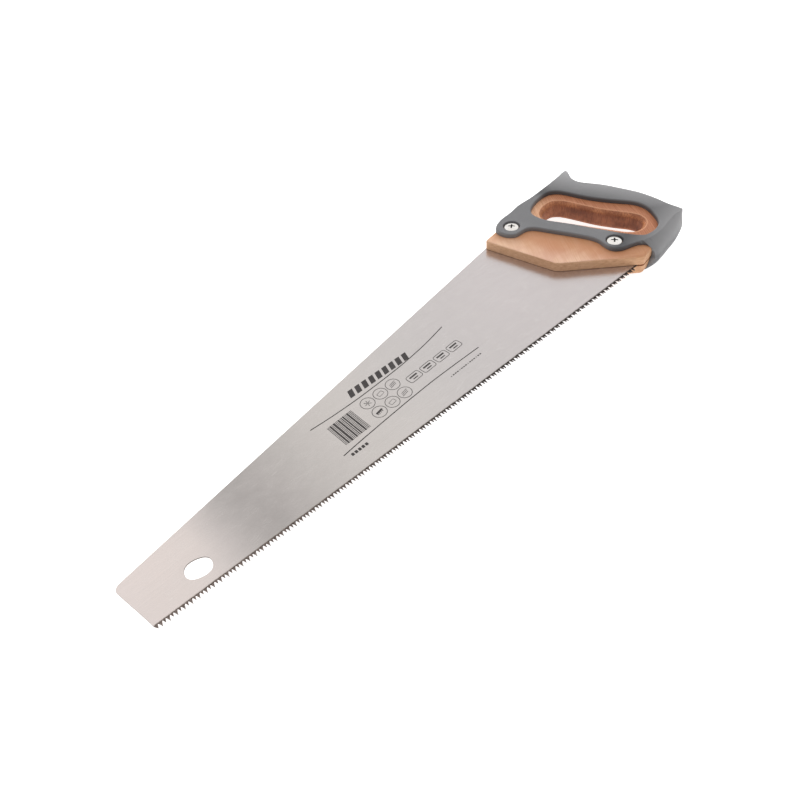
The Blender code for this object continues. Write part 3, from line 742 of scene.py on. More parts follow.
def wood_material():
    """Lacquered beech, redder where the stain attribute of the mesh is high, with painted shade
    down the wall of the hand hole.
    """
    mat = Shader("beech_lacquered")
    x, y, _ = mat.split(mat.point)
    # coordinates with x along the grain, y warped and z across it
    warp = mat.sway(mat.noise((0.02, 0.05, 0.05), turn=GRAIN_TURN), reach=9)
    along, across, through = mat.split(mat.stretch((1.0, 1.0, 1.0), GRAIN_TURN))
    combine = mat.node('ShaderNodeCombineXYZ')
    for value, socket in zip((along, mat.plus(across, warp), through), combine.inputs):
        mat.link(value, socket)
    grain = combine.outputs[0]
    band = mat.noise((0.006, 0.22, 0.11), detail=3, rough=0.55, along=grain)
    streak = mat.noise((0.035, 1.5, 0.9), detail=4, rough=0.62, along=grain)
    fibre = mat.noise((0.10, 6.0, 4.0), detail=3, rough=0.6, along=grain)
    # short rays and pores, a millimetre or two long
    ray = mat.remap(mat.voronoi((0.42, 3.0, 2.2), along=grain), over=(0.06, 0.20), to=(1.0, 0.0))
    ray = mat.times(ray, mat.remap(mat.noise((0.12, 0.5, 0.4), along=grain), over=(0.45, 0.62)))
    blush = mat.noise((0.03, 0.045, 0.05), detail=3, rough=0.55)
    base = mat.fade(band, (0.30, 0.70), (232, 195, 168), (219, 177, 146))
    base = mat.layers(base,
                      (streak, 0.36, 0.70, 0.42, (192, 142, 110)),
                      (streak, 0.55, 0.28, 0.40, (238, 204, 176)),
                      (fibre, 0.50, 0.75, 0.30, (184, 128, 94)),
                      (blush, 0.42, 0.70, 0.55, (202, 150, 130)))
    base = mat.tint(base, ray, strength=0.60, colour=(140, 88, 60))
    # warmer and darker towards the lip of the grip, partly an orange tone of the wood and partly
    # painted shadow of the lip; the weights are a direction in x and y
    lip = mat.plus(mat.weighted(x, 0.897, y, 0.441), mat.sway(blush, reach=14))
    lip_tone_and_shadow = mat.remap(lip, over=(-12.0, 12.0), to=(0.0, 0.78))
    base = mat.mix(lip_tone_and_shadow, base, (186, 124, 80))
    # paler towards the corner at -x and +y
    nose = mat.remap(mat.weighted(y, 0.8, x, -0.6), over=(62.0, 118.0))
    nose = mat.times(nose, mat.minus(1.0, lip_tone_and_shadow))
    base = mat.tint(base, nose, strength=0.42, colour=(250, 212, 180))
    # sawn sides: browner, with saw marks and specks
    side = mat.remap(mat.size(mat.normal_z()), over=(0.35, 0.85), to=(1.0, 0.0))
    saw = mat.noise((0.25, 0.25, 3.4), detail=3, rough=0.6)
    speck = mat.remap(mat.voronoi((0.5, 0.5, 0.9)), over=(0.10, 0.26), to=(1.0, 0.0))
    speck = mat.times(speck, mat.remap(mat.noise((0.2, 0.2, 0.3)), over=(0.50, 0.66)))
    sawn = mat.fade(saw, (0.34, 0.70), (222, 176, 136), (180, 132, 96))
    sawn = mat.tint(sawn, speck, strength=0.6, colour=(112, 72, 48))
    base = mat.tint(base, side, strength=0.82, colour=sawn)
    attribute = mat.node('ShaderNodeAttribute')
    attribute.attribute_name = "stain_and_shade"
    stain_and_shade = attribute.outputs['Fac']
    # flat rim round the hole: pale at its -x end, burnt orange towards +x
    orange = mat.fade(streak, (0.35, 0.68), (190, 128, 94), (158, 94, 62))
    rim_place = mat.plus(mat.plus(x, mat.times(y, -0.15)), mat.sway(blush, reach=22))
    pale = mat.fade(streak, (0.35, 0.68), (226, 176, 140), (196, 142, 106))
    orange = mat.fade(rim_place, (-6.0, 24.0), pale, orange)
    base = mat.layers(base, (stain_and_shade, 0.02, 0.35, 0.92, orange))
    # wall of the hole: cutter marks through the thickness, and painted shade that darkens it
    # towards mid thickness
    marks = mat.noise((1.1, 1.1, 0.16), detail=3, rough=0.6)
    patch = mat.noise((0.06, 0.06, 0.10), detail=3, rough=0.55)
    wall = mat.fade(patch, (0.34, 0.66), (208, 138, 94), (164, 100, 66))
    wall = mat.layers(wall,
                      (streak, 0.34, 0.70, 0.55, (108, 62, 40)),
                      (marks, 0.42, 0.70, 0.50, (92, 52, 35)))
    middle = mat.fade(patch, (0.34, 0.66), (160, 99, 68), (126, 73, 49))
    middle = mat.layers(middle, (marks, 0.42, 0.70, 0.55, (84, 46, 32)))
    wall = mat.fade(stain_and_shade, (0.70, 1.0), wall, middle)
    # the wall is paler at its upper -x end
    end = mat.remap(mat.minus(y, mat.times(x, 0.4)), over=(84.0, 110.0))
    end_tone = mat.fade(streak, (0.35, 0.68), (206, 140, 96), (160, 100, 66))
    wall = mat.tint(wall, end, strength=0.50, colour=end_tone)
    base = mat.fade(stain_and_shade, (0.38, 0.60), base, wall)
    # painted highlight: a pale line along the corner between rim and wall
    arris_highlight = mat.times(mat.remap(stain_and_shade, over=(0.36, 0.41)),
                      mat.remap(stain_and_shade, over=(0.44, 0.54), to=(1.0, 0.0)))
    base = mat.tint(base, arris_highlight, strength=0.55, colour=(218, 164, 128))
    rough = mat.plus(mat.remap(streak, over=(0.3, 0.7), to=(0.46, 0.60)), mat.times(side, 0.12))
    height = mat.weighted(fibre, 0.5, streak, 0.5)
    height = mat.minus(height, mat.times(ray, 0.8))
    height = mat.plus(height, mat.times(mat.times(saw, side), 0.9))
    normal = mat.bump(height, depth_mm=0.10, strength=0.55)
    return mat.finish(Base_Color=base, Roughness=rough, Normal=normal,
                      Specular_IOR_Level=0.35, Coat_Weight=0.10, Coat_Roughness=0.35)


def rubber_material():
    """Grey elastomer, with painted light making it lighter towards +x."""
    mat = Shader("grip_elastomer")
    x, y, _ = mat.split(mat.point)
    normal_z = mat.normal_z()
    grain = mat.noise((2.6, 2.6, 2.6), detail=3, rough=0.6)
    pits = mat.voronoi((2.2, 2.2, 2.2))
    cloud = mat.noise((0.03, 0.03, 0.03), detail=3)
    rub = mat.noise((0.10, 0.06, 0.10), detail=4, rough=0.6, turn=30)
    base = mat.fade(cloud, (0.3, 0.7), (109, 109, 111), (117, 117, 119))
    base = mat.layers(base,
                      (grain, 0.45, 0.75, 0.22, (136, 135, 136)),
                      (rub, 0.58, 0.74, 0.18, (140, 139, 140)))
    # painted highlight on the rounded edges of the +x side
    edge_highlight = mat.times(mat.remap(x, over=(40.0, 84.0)),
                     mat.remap(mat.size(normal_z), over=(0.35, 0.95), to=(1.0, 0.0)))
    edge_highlight = mat.times(edge_highlight, mat.remap(mat.size(normal_z), over=(0.0, 0.4), to=(0.2, 1.0)))
    base = mat.tint(base, edge_highlight, strength=0.30, colour=(152, 151, 152))
    # painted shade near the lip of the opening and painted light growing from there
    # outwards; distances are taken from a line through MIDDLE, with the weights giving
    # directions in x and y
    middle_x, middle_y = 31.0, 66.0
    off = mat.weighted(mat.minus(x, middle_x), 0.944, mat.minus(y, middle_y), 0.330)
    along = mat.minus(mat.times(mat.minus(x, middle_x), 0.297),
                      mat.times(mat.minus(y, middle_y), 0.850))
    off = mat.math('MAXIMUM', off, mat.minus(along, 17.0))
    off = mat.plus(off, mat.sway(cloud, reach=5))
    painted_light_ramp = mat.remap(off, over=(17.0, 58.0), smooth=False)
    # painted shade on the face near the lip, fading out as the painted light grows
    shadow = mat.mix(painted_light_ramp, (172, 172, 173), (255, 255, 255))
    near_lip = mat.remap(off, over=(4.0, 16.0))
    base = mat.mix(near_lip, base, mat.mix(1.0, base, shadow, 'MULTIPLY'))
    # the painted light is stronger on faces that look up or down
    facing = mat.remap(mat.size(normal_z), over=(0.10, 0.55), to=(0.15, 1.0))
    base = mat.tint(base, mat.times(painted_light_ramp, facing), strength=0.58, colour=(182, 181, 182))
    dust = mat.remap(mat.voronoi((0.35, 0.35, 0.35)), over=(0.0, 0.06), to=(1.0, 0.0))
    base = mat.tint(base, dust, strength=0.35, colour=(176, 176, 176))
    rough = mat.plus(mat.remap(cloud, over=(0.3, 0.7), to=(0.50, 0.60)),
                     mat.remap(rub, over=(0.45, 0.75), to=(0.0, -0.10)))
    height = mat.weighted(grain, 0.6, pits, 0.4)
    normal = mat.bump(height, depth_mm=0.06, strength=0.55)
    return mat.finish(Base_Color=base, Roughness=rough, Normal=normal,
                      Specular_IOR_Level=0.38, Sheen_Weight=0.06, Sheen_Roughness=0.5)


def nickel_material(name, centre, tone, driver_shade_reach):
    """Lathe-turned nickel round a centre. Painted shade in the driver recess fades out over
    the two radii of the reach argument."""
    mat = Shader(name)
    x, y, z = mat.split(mat.point)
    dx, dy = mat.minus(x, centre[0]), mat.minus(y, centre[1])
    radius = mat.math('SQRT', mat.plus(mat.times(dx, dx), mat.times(dy, dy)))
    rings = mat.node('ShaderNodeTexNoise')
    rings.noise_dimensions = '1D'
    mat.link(mat.times(radius, 9.0), rings.inputs['W'])
    rings.inputs['Detail'].default_value = 3.0
    lathe = rings.outputs['Fac']
    spot = mat.noise((0.8, 0.8, 0.8), detail=4, rough=0.6)
    tarnish = mat.noise((0.22, 0.22, 0.22), detail=3, rough=0.6)
    tarnished = (tone[0] - 9, tone[1] - 11, tone[2] - 15)
    base = mat.fade(tarnish, (0.35, 0.7), tone, tarnished)
    base = mat.layers(base, (spot, 0.64, 0.76, 0.35, (176, 168, 158)))
    # painted shade low on the head, where it sits down in the grip's recess
    recess_shade = mat.remap(mat.size(z), over=(9.2, 11.4), to=(1.0, 0.0))
    base = mat.tint(base, recess_shade, strength=0.85, colour=(70, 66, 62))
    # the dome's surface falls with the square of the radius, to DOME_RISE at about HEAD_R
    surface = mat.math('MULTIPLY_ADD', mat.times(radius, radius), -1.0 / 39.06,
                       HEAD_TOP + DOME_RISE)
    # painted shade in the cross and the slot, where they lie below the dome's surface
    below = mat.remap(mat.minus(surface, mat.size(z)), over=(0.06, 0.22))
    driver_shade = mat.times(below, mat.remap(radius, over=driver_shade_reach, to=(1.0, 0.0)))
    base = mat.tint(base, driver_shade, strength=0.93, colour=(44, 40, 37))
    rough = mat.plus(mat.remap(lathe, over=(0.3, 0.7), to=(0.16, 0.26)),
                     mat.remap(spot, over=(0.5, 0.75), to=(0.0, 0.14)))
    rough = mat.plus(rough, mat.times(driver_shade, 0.4))
    normal = mat.bump(lathe, depth_mm=0.02, strength=0.30)
    normal = mat.bump(spot, depth_mm=0.05, strength=0.25, under=normal)
    return mat.finish(Base_Color=base, Metallic=1.0, Roughness=rough, Normal=normal)


def ink_material(name, colour, faded):
    mat = Shader(name)
    grain = mat.noise((0.9, 0.9, 0.9), detail=4, rough=0.6)
    cloud = mat.noise((0.06, 0.06, 0.06))
    base = mat.layers(colour, (grain, 0.35, 0.75, 0.5, faded), (cloud, 0.4, 0.7, 0.35, faded))
    normal = mat.bump(grain, depth_mm=0.02, strength=0.3)
    rough = mat.remap(grain, over=(0.3, 0.7), to=(0.42, 0.6))
    return mat.finish(Base_Color=base, Roughness=rough, Normal=normal, Specular_IOR_Level=0.4)


# ============================================================ blade
def tip_y(x):
    return BOW_Y + BOW_RISE * ((x - BOW_X) / BOW_SPAN) ** 2


def back_y(x):
    return BACK_Y0 + BACK_SLOPE * x


def tooth_lines(build):
    """Lines across the sheet along the teeth, toe to heel. Neighbouring teeth lean to
    opposite sides and are ground at an angle, so one face of each tip is lower."""
    lines = []
    for tooth in range(TOOTH_COUNT):
        last = tooth == TOOTH_COUNT - 1
        x = TOE_X + (tooth + 0.55) * TOOTH_PITCH
        side = 1 if tooth % 2 == 0 else -1
        lean = TOOTH_SET * side
        tips = (0.0, 0.83) if side > 0 else (0.83, 0.0)     # tip height on the +z, -z face
        half = (TOOTH_PITCH / 2 + 0.22 * side, TOOTH_PITCH / 2 - 0.22 * side)
        if last:
            lean, tips = 0.0, (0.2, 0.2)
        # place as a share of the half width, height as a share from tip to gullet
        stations = [(-0.66, 0.80), (-0.34, 0.46)] if tooth else []
        stations += [(-0.03, 0.0), (0.03, 0.0), (0.34, 0.46)]
        stations += [(1.0, 1.0)] if last else [(0.66, 0.80), (1.0, 1.0)]
        for share, rise in stations:
            line = []
            for tip, width, face in zip(tips, half, (1, -1)):
                y = tip + (TOOTH_ROOT - tip) * rise
                out = lean * max(0.0, 1 - y / TOOTH_ROOT)
                line_x = x + share * width
                line.append(build.add(line_x, y + tip_y(line_x), face * BLADE_HALF + out))
            lines.append(line)
    return lines


def blade_tail():
    """The blade's outline from the handle along the back and round the toe."""
    join_x = BLADE_TANG[-1][0] - 3.5
    join = np.array((join_x, back_y(join_x)))
    corner = fillet_outline(((*join, 0), (-453.9, back_y(-453.9), 5.0), (-451.2, 26.0, 0)),
                            arc_step=9.0)[1:-1]
    back = [join + (corner[0] - join) * (i / BACK_STEPS) for i in range(1, BACK_STEPS)]
    toe = [(-451.2, 26.0), (-449.3, 14.8), (TOE_X - 0.25, tip_y(TOE_X) + 3.3)]
    return [*BLADE_TANG, join, *back, *corner, *toe]


def rim(build, lines):
    """Faces between neighbouring lines of two or four points, round a closed edge."""
    for line, following in zip(lines, lines[1:] + lines[:1]):
        if len(line) == len(following):
            for k in range(len(line) - 1):
                build.faces += [(line[k], following[k], following[k + 1]),
                                (line[k], following[k + 1], line[k + 1])]
        else:
            (c0, c1), (d0, d1, d2, d3) = sorted((line, following), key=len)
            build.faces += [(c0, d0, d1), (c0, d1, d2), (c0, d2, c1), (c1, d2, d3)]


def make_blade(material):
    build = Build()

    def chamfered(edge, flat):
        """A line from face to face: the chamfer runs from the flat to the edge point."""
        low = BLADE_HALF - BLADE_CHAMFER
        return [build.add(*flat, BLADE_HALF), build.add(*edge, low),
                build.add(*edge, -low), build.add(*flat, -BLADE_HALF)]

    outer = tooth_lines(build)
    tail = blade_tail()
    plan = [build.points[line[0]][:2] for line in outer] + [tuple(p) for p in tail]
    for edge, direction in zip(tail, inward(np.array(plan))[len(outer):]):
        outer.append(chamfered(edge, edge + direction * BLADE_CHAMFER))
    rim(build, outer)
    hang_hole = []
    for step in range(HANG_HOLE_STEPS):
        angle = 2 * math.pi * step / HANG_HOLE_STEPS
        u, v = (half * math.copysign(abs(wave) ** HANG_HOLE_POWER, wave)
                for half, wave in zip(HANG_HOLE_HALF, (math.cos(angle), math.sin(angle))))
        edge = turned_points([(u, v)], HANG_HOLE, HANG_HOLE_TURN)[0]
        grow = 1 + BLADE_CHAMFER / math.hypot(u, v)
        flat = [centre + (at - centre) * grow for centre, at in zip(HANG_HOLE, edge)]
        hang_hole.append(chamfered(edge, flat))
    rim(build, hang_hole)
    holes = [hang_hole]
    for centre in SCREWS:
        hole = [[build.add(*p, BLADE_HALF), build.add(*p, -BLADE_HALF)]
                for p in circle(centre, SLEEVE_R + GAP, HOLE_STEPS)]
        rim(build, hole)
        holes.append(hole)
    for face in (0, -1):
        build.plate([line[face] for line in outer],
                    [[line[face] for line in hole] for hole in holes])
    return build.piece("saw_blade", material, sharp=None)


# ============================================================ wooden handle
def core_rings(grow, angles):
    """The wood's (outline, z) rings over its rounded edges, grown all round."""
    plan = split_long(fillet_outline(CORE_OUTLINE, arc_step=8.0), longest=2.0)
    direction = inward(plan)
    edges = np.array(CORE_EDGES)
    distance = ((plan[:, None, :] - edges[None, :, :2]) ** 2).sum(2) + 4.0
    weight = distance ** -2
    radius = (weight * edges[None, :, 2]).sum(1) / weight.sum(1)
    rings = []
    for angle in angles:
        s = math.radians(angle)
        rings.append((plan + direction * (radius * (1 - math.cos(s)) - grow)[:, None],
                      CORE_HALF_T - radius * (1 - math.sin(s)) + grow))
    return both_faces(rings)


def add_stain_and_shade(ob, opening, hole):
    """Writes how red-brown the wood is, with painted shade down the hand hole: 0 under the
    grip and on the nose, 0.35 in the grip's opening, rising to 1 down the wall of the hand hole."""
    mesh = ob.data
    points = read_vectors(mesh.vertices, "co") / MM - ORIGIN
    stain_and_shade = np.zeros(len(points), np.float32)
    stain_and_shade[inside(opening - inward(opening) * 1.2, points[:, :2])] = 0.35
    in_hole = inside(hole + inward(hole) * 0.02, points[:, :2])
    depth = np.clip((CORE_HALF_T - np.abs(points[:, 2])) / HAND_HOLE_ROUND, 0, 1)
    stain_and_shade[in_hole] = np.interp(depth[in_hole], (0.0, 0.015, 0.12, 0.5, 1.0),
                               (0.35, 0.40, 0.60, 0.76, 1.0))
    attribute = mesh.attributes.new("stain_and_shade", 'FLOAT', 'POINT')
    attribute.data.foreach_set("value", stain_and_shade)


def make_core(material):
    build = Build()
    loops = build.tube(core_rings(0.0, (90, 72, 54, 36, 18, 0)))
    hole = smooth_outline(HAND_HOLE_RIM, 1.6)
    direction = inward(hole)
    rounding = [(HAND_HOLE_ROUND * math.sin(math.radians(a)),
                 CORE_HALF_T - HAND_HOLE_ROUND * (1 - math.cos(math.radians(a))))
                for a in (0, 6, 12, 20, 29, 38, 48, 58, 68, 79, 90)]
    levels = both_faces(rounding, *((HAND_HOLE_ROUND, z) for z in (2.5, 0.0, -2.5)))
    holes = [build.tube([(hole + direction * inset, z) for inset, z in levels], hole=True)]
    for centre in SCREWS:
        bore = circle(centre, SLEEVE_R + GAP, HOLE_STEPS)
        holes.append(build.tube([(bore, CORE_HALF_T), (bore, -CORE_HALF_T)], hole=True))
    # extra points either side of the line where the stain begins
    opening = smooth_outline(GRIP_OPENING, 2.5)
    direction = inward(opening)
    stain_lines = [[build.loop(opening - direction * out, z) for out in (0.8, 2.0)]
                   for z in (CORE_HALF_T, -CORE_HALF_T)]
    for face, lines in zip((0, -1), stain_lines):
        build.plate(loops[face], [h[face] for h in holes], lines)
    ob = build.piece("handle_wood", material)
    kerf_half = BLADE_HALF + GAP
    carve(ob, prism("kerf_cut", np.array(KERF_OUTLINE), -kerf_half, kerf_half))
    shade(ob, flat_levels=(CORE_HALF_T, kerf_half))
    add_stain_and_shade(ob, opening, hole)
    return ob


# ============================================================ moulded grip
def grip_rings():
    """(outline, z) rings over the grip's rounded edge, from the +z to the -z face."""
    rows = [row + GRIP_DEFAULTS[len(row):] for row in GRIP_OUTLINE]
    grid = smooth_outline([row[:5] + row[6:] for row in rows], 1.7, [row[5] for row in rows])
    plan, top_shift, far_shift = grid[:, :2], grid[:, 5:7], grid[:, 7:9]
    direction = inward(grid)
    width = np.clip(grid[:, 2], 0.8, None)
    height = np.clip(grid[:, 3], 1.0, GRIP_HALF_T - 0.01)
    sweep = np.radians(np.clip(grid[:, 4], 50, 90))
    rings = []
    steps = 12
    for i in range(steps, -1, -1):
        angle = sweep * (i / steps)
        inset = width * (1 - np.cos(angle)) / (1 - np.cos(sweep))
        z = GRIP_HALF_T - height + height * np.sin(angle) / np.sin(sweep)
        shift = top_shift * (inset / width)[:, None]
        outline = plan + direction * (inset + MOULD_LINE)[:, None] + shift
        rings.append((untangle(outline), np.maximum(z, 0.45)))
    rings.append((plan + direction * MOULD_LINE, np.full(len(grid), 0.22)))
    rings.append((plan, np.full(len(grid), 0.10)))
    far = [(untangle(outline + far_shift * np.minimum(z / CORE_HALF_T, 1.0)[:, None]), -z)
           for outline, z in rings[::-1]]
    return rings + far


def well(build, outline, lip_width, lip_height):
    """A hole through the grip with rounded lips."""
    direction = inward(outline)
    lip = [(lip_width * (1 - math.sin(math.radians(a))),
            GRIP_HALF_T - lip_height * (1 - math.cos(math.radians(a))))
           for a in range(0, 91, 15)]
    levels = both_faces(lip, (0.0, 6.0), (0.0, 0.0), (0.0, -6.0))
    return build.tube([(outline - direction * out, z) for out, z in levels], hole=True)


def make_grip(material):
    build = Build()
    loops = build.tube(grip_rings())
    wells = [well(build, smooth_outline(GRIP_OPENING, 1.7), lip_width=1.2, lip_height=1.4)]
    for centre in SCREWS:
        recess = circle(centre, RECESS_R, RECESS_STEPS)
        wells.append(well(build, recess, lip_width=0.6, lip_height=0.6))
    for face in (0, -1):
        build.plate(loops[face], [w[face] for w in wells])
    ob = build.piece("grip_moulding", material)
    pocket = Build()
    pocket.solid(core_rings(GAP, (90, 60, 30, 0)))
    carve(ob, pocket.cutter("pocket_cut"))
    shade(ob, flat_levels=(GRIP_HALF_T, CORE_HALF_T + GAP))
    return ob


# ============================================================ screws and nuts
def dome_z(radius):
    return HEAD_TOP + DOME_RISE * (1 - (radius / HEAD_R) ** 2)


DOME_APEX = dome_z(0)
DOME_RADII = [HEAD_R * k / 16 for k in range(1, 16)]


def make_screw(name, centre, material):
    profile = [(0, -7.6), (1.5, -7.6), (2.1, -7.0), (2.1, HEAD_SEAT), (HEAD_R - 0.25, HEAD_SEAT),
               (HEAD_R - 0.08, HEAD_SEAT + 0.06), (HEAD_R, HEAD_SEAT + 0.25),
               (HEAD_R, HEAD_TOP - 0.3), (HEAD_R - 0.07, HEAD_TOP - 0.08),
               (HEAD_R - 0.25, HEAD_TOP + 0.02)]
    profile += [(r, dome_z(r)) for r in DOME_RADII[::-1]] + [(0, DOME_APEX)]
    ob = turned(name, profile, centre, material)
    # tapering cross recess: height above the apex, size
    rings = []
    for rise, size in ((0.6, 1.16), (-0.15, 1.0), (-1.1, 0.66), (-1.45, 0.45)):
        reach, half = 3.3 * size, 0.66 * size
        arm = ((half * 1.15, -half * 1.15), (half * 1.9, -half), (reach - half * 0.6, -half),
               (reach - half * 0.15, -half * 0.55), (reach, 0.0),
               (reach - half * 0.15, half * 0.55), (reach - half * 0.6, half),
               (half * 1.9, half))
        cross = []
        for quarter in range(4):
            cross += turned_points(arm, centre, DRIVER_TURN + 90 * quarter)
        rings.append((np.array(cross), DOME_APEX + rise))
    recess = Build()
    recess.solid(rings)
    carve(ob, recess.cutter("cross_cut"))
    shade(ob, sharp=30)
    return ob


def make_nut(name, centre, material):
    profile = [(0, -DOME_APEX)] + [(r, -dome_z(r)) for r in DOME_RADII]
    profile += [(HEAD_R - 0.25, -HEAD_TOP - 0.02), (HEAD_R - 0.07, -HEAD_TOP + 0.08),
                (HEAD_R, -HEAD_TOP + 0.3), (HEAD_R, -HEAD_SEAT - 0.25),
                (HEAD_R - 0.25, -HEAD_SEAT), (SLEEVE_R, -HEAD_SEAT), (SLEEVE_R, 4.1),
                (SLEEVE_R - 0.4, 4.5), (2.45, 4.5), (2.45, -8.0), (0, -8.6)]
    ob = turned(name, profile, centre, material)
    slot = turned_box(centre, width=14.5, height=1.2, degrees=DRIVER_TURN)
    carve(ob, prism("slot_cut", slot, -DOME_APEX - 1.0, -HEAD_TOP + 0.1))
    shade(ob, sharp=30)
    return ob


def make_fasteners():
    """Pairs of an object and the name of the CAD node it replaces."""
    made = []
    for i, centre in enumerate(SCREWS, 1):
        nickel = nickel_material(f"nickel_screw_{i}", centre, (253, 251, 248), (4.0, 4.3))
        made.append((make_screw(f"screw_head_{i}", centre, nickel), f"screw_{i}"))
        nickel = nickel_material(f"nickel_nut_{i}", centre, (250, 247, 242), (5.6, 6.0))
        made.append((make_nut(f"nut_head_{i}", centre, nickel), f"sleeve_nut_{i}"))
    return made


# ============================================================ printed marks
# plain generic marks on the blade's +z face; all are moved by PRINT_SHIFT in y at the end
PRINT_SHIFT = -1.35
PRINT_Z = (BLADE_HALF + 0.006, BLADE_HALF + 0.03)
# x, y along the upper and the lower line
PRINT_LINES = (
    ((-292.6, 57.5), (-280, 56.8), (-270, 56.5), (-261, 56.4), (-250, 56.5), (-240, 56.9),
     (-230, 57.4), (-220, 58.0), (-210, 58.7), (-200, 59.7), (-190, 61.0), (-180, 62.5),
     (-170, 64.4), (-160, 66.6), (-154, 68.0)),
    ((-290.5, 22.3), (-280, 23.5), (-270, 24.5), (-260, 25.4), (-250, 26.3), (-240, 27.1),
     (-232, 27.8), (-224, 28.4), (-216, 28.9), (-208, 29.4), (-200, 29.8), (-192, 30.0),
     (-176, 30.3), (-151.8, 30.4)),
)
PRINT_RINGS = ((-222.75, 48.87), (-235.14, 48.33), (-247.77, 47.82),
               (-222.08, 36.3), (-234.44, 35.76), (-247.12, 35.24))
PRINT_FRAMES = ((-206.4, 43.1), (-192.1, 43.6), (-177.7, 44.2), (-163.4, 45.0))
STRIPE_WIDTHS = (0.45, 0.45, 1.5, 0.5, 1.8, 0.5, 0.5, 1.4, 0.5, 0.8, 1.2, 0.45, 0.45, 1.5,
                 0.5, 0.6, 0.45)


def slab(build, outer, inner=None):
    """A thin raised shape, with a hole where an inner outline is given."""
    if inner is None:
        build.solid([(outer, z) for z in PRINT_Z])
        return
    low, high = build.tube([(outer, z) for z in PRINT_Z])
    inner_low, inner_high = build.tube([(inner, z) for z in PRINT_Z], hole=True)
    build.bridge(high, inner_high)
    build.bridge(inner_low, low)


def stroke(build, line, width):
    direction = np.gradient(line, axis=0)
    direction /= np.linalg.norm(direction, axis=1)[:, None]
    offset = np.stack((-direction[:, 1], direction[:, 0]), 1) * width / 2
    slab(build, np.concatenate((line + offset, (line - offset)[::-1])))


def curve_through(points, steps):
    p = np.array(points, float)
    padded = np.concatenate((p[:1] * 2 - p[1:2], p, p[-1:] * 2 - p[-2:-1]))
    out = []
    for a, b, c, d in zip(padded, padded[1:], padded[2:], padded[3:]):
        for s in range(steps):
            u = s / steps
            out.append(0.5 * ((2 * b) + (-a + c) * u + (2*a - 5*b + 4*c - d) * u*u
                              + (-a + 3*b - 3*c + d) * u**3))
    out.append(p[-1])
    return np.array(out)


def ring_marks(dark, light):
    """Six rings, each with simple strokes inside."""
    for i, (cx, cy) in enumerate(PRINT_RINGS):
        slab(light, circle((cx, cy), 5.75, 64), circle((cx, cy), 5.2, 64))
        if i in (0, 3):             # three bars
            for k in (-1.4, 0.0, 1.4):
                slab(light, turned_box((cx + k * 0.3, cy + k), 6.0, 0.5, 14))
        elif i in (1, 4):           # a rounded frame
            slab(light, turned_box((cx, cy), 5.6, 3.6, 12, 0.8),
                 turned_box((cx, cy), 4.8, 2.8, 12, 0.4))
        elif i == 2:                # a star of six strokes
            for degrees in (20, 80, 140):
                for reach in (1.6, -1.6):
                    middle = (cx + reach * math.cos(math.radians(degrees)),
                              cy + reach * math.sin(math.radians(degrees)))
                    slab(light, turned_box(middle, 2.6, 0.5, degrees))
        else:                       # a bar over four short strokes
            slab(dark, turned_box((cx, cy + 0.4), 6.4, 1.7, 12, 0.3))
            for k in range(4):
                slab(light, turned_box((cx - 2.3 + 1.5 * k, cy - 1.5 + 0.3 * k), 0.6, 1.4, 12))


def make_print():
    dark, light = Build(), Build()
    for line in PRINT_LINES:
        stroke(dark, curve_through(line, steps=4), width=0.8)
    # a band of nine slanting blocks
    width, pitch, lean = 4.4, 6.6, 2.4
    for k in range(9):
        x = -253.0 + pitch * k
        slab(dark, np.array(((x, 60.5), (x + width, 60.5),
                             (x + width + lean, 67.9), (x + lean, 67.9))))
    ring_marks(dark, light)
    # a block of upright stripes between two rising lines
    x = -283.4
    for width in STRIPE_WIDTHS:
        u = (x + 284.3) / 23.2
        top, low = 50.1 + 1.6 * u, 28.4 + 0.8 * u
        slab(dark, np.array(((x + 0.15, low), (x + width + 0.15, low),
                             (x + width, top), (x, top))))
        x += width + 0.57
    # four rounded frames with two short bars each
    for cx, cy in PRINT_FRAMES:
        slab(dark, turned_box((cx, cy), 12.8, 7.9, 4.0, 2.1),
             turned_box((cx, cy), 11.8, 6.9, 4.0, 1.6))
        slab(dark, turned_box((cx - 0.1, cy + 1.2), 7.6, 1.5, 4.0, 0.3))
        slab(dark, turned_box((cx + 0.2, cy - 1.4), 4.8, 1.0, 4.0, 0.3))
    # a row of small blocks and a dashed line below the lower line
    for k in range(5):
        slab(dark, turned_box((-285.2 + 3.1 * k, 18.9 + 0.05 * k), 2.2, 2.6, 1.0, 0.5))
    for k in range(15):
        build, width = (dark, 1.5) if k % 4 else (light, 0.7)
        slab(build, turned_box((-187.6 + 2.25 * k, 23.1 + 0.093 * k), width, 1.0, 2.4))
    for build in (dark, light):
        build.points = [(x, y + PRINT_SHIFT, z) for x, y, z in build.points]
    ink = ink_material("blade_ink", (52, 48, 48), (78, 73, 72))
    pale_ink = ink_material("blade_ink_light", (84, 80, 80), (112, 108, 107))
    return (dark.piece("print_marks_dark", ink, sharp=None),
            light.piece("print_marks_light", pale_ink, sharp=None))


# ============================================================ product
def fit(ob, node):
    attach(ob, "root")
    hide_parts(node)


fit(make_blade(steel_material()), "blade")
fit(make_core(wood_material()), "handle_core")
fit(make_grip(rubber_material()), "grip_overmould")
for fastener, node_name in make_fasteners():
    fit(fastener, node_name)
for marks in make_print():
    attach(marks, "root")

# ============================================================ stage, in metres
scene = bpy.context.scene


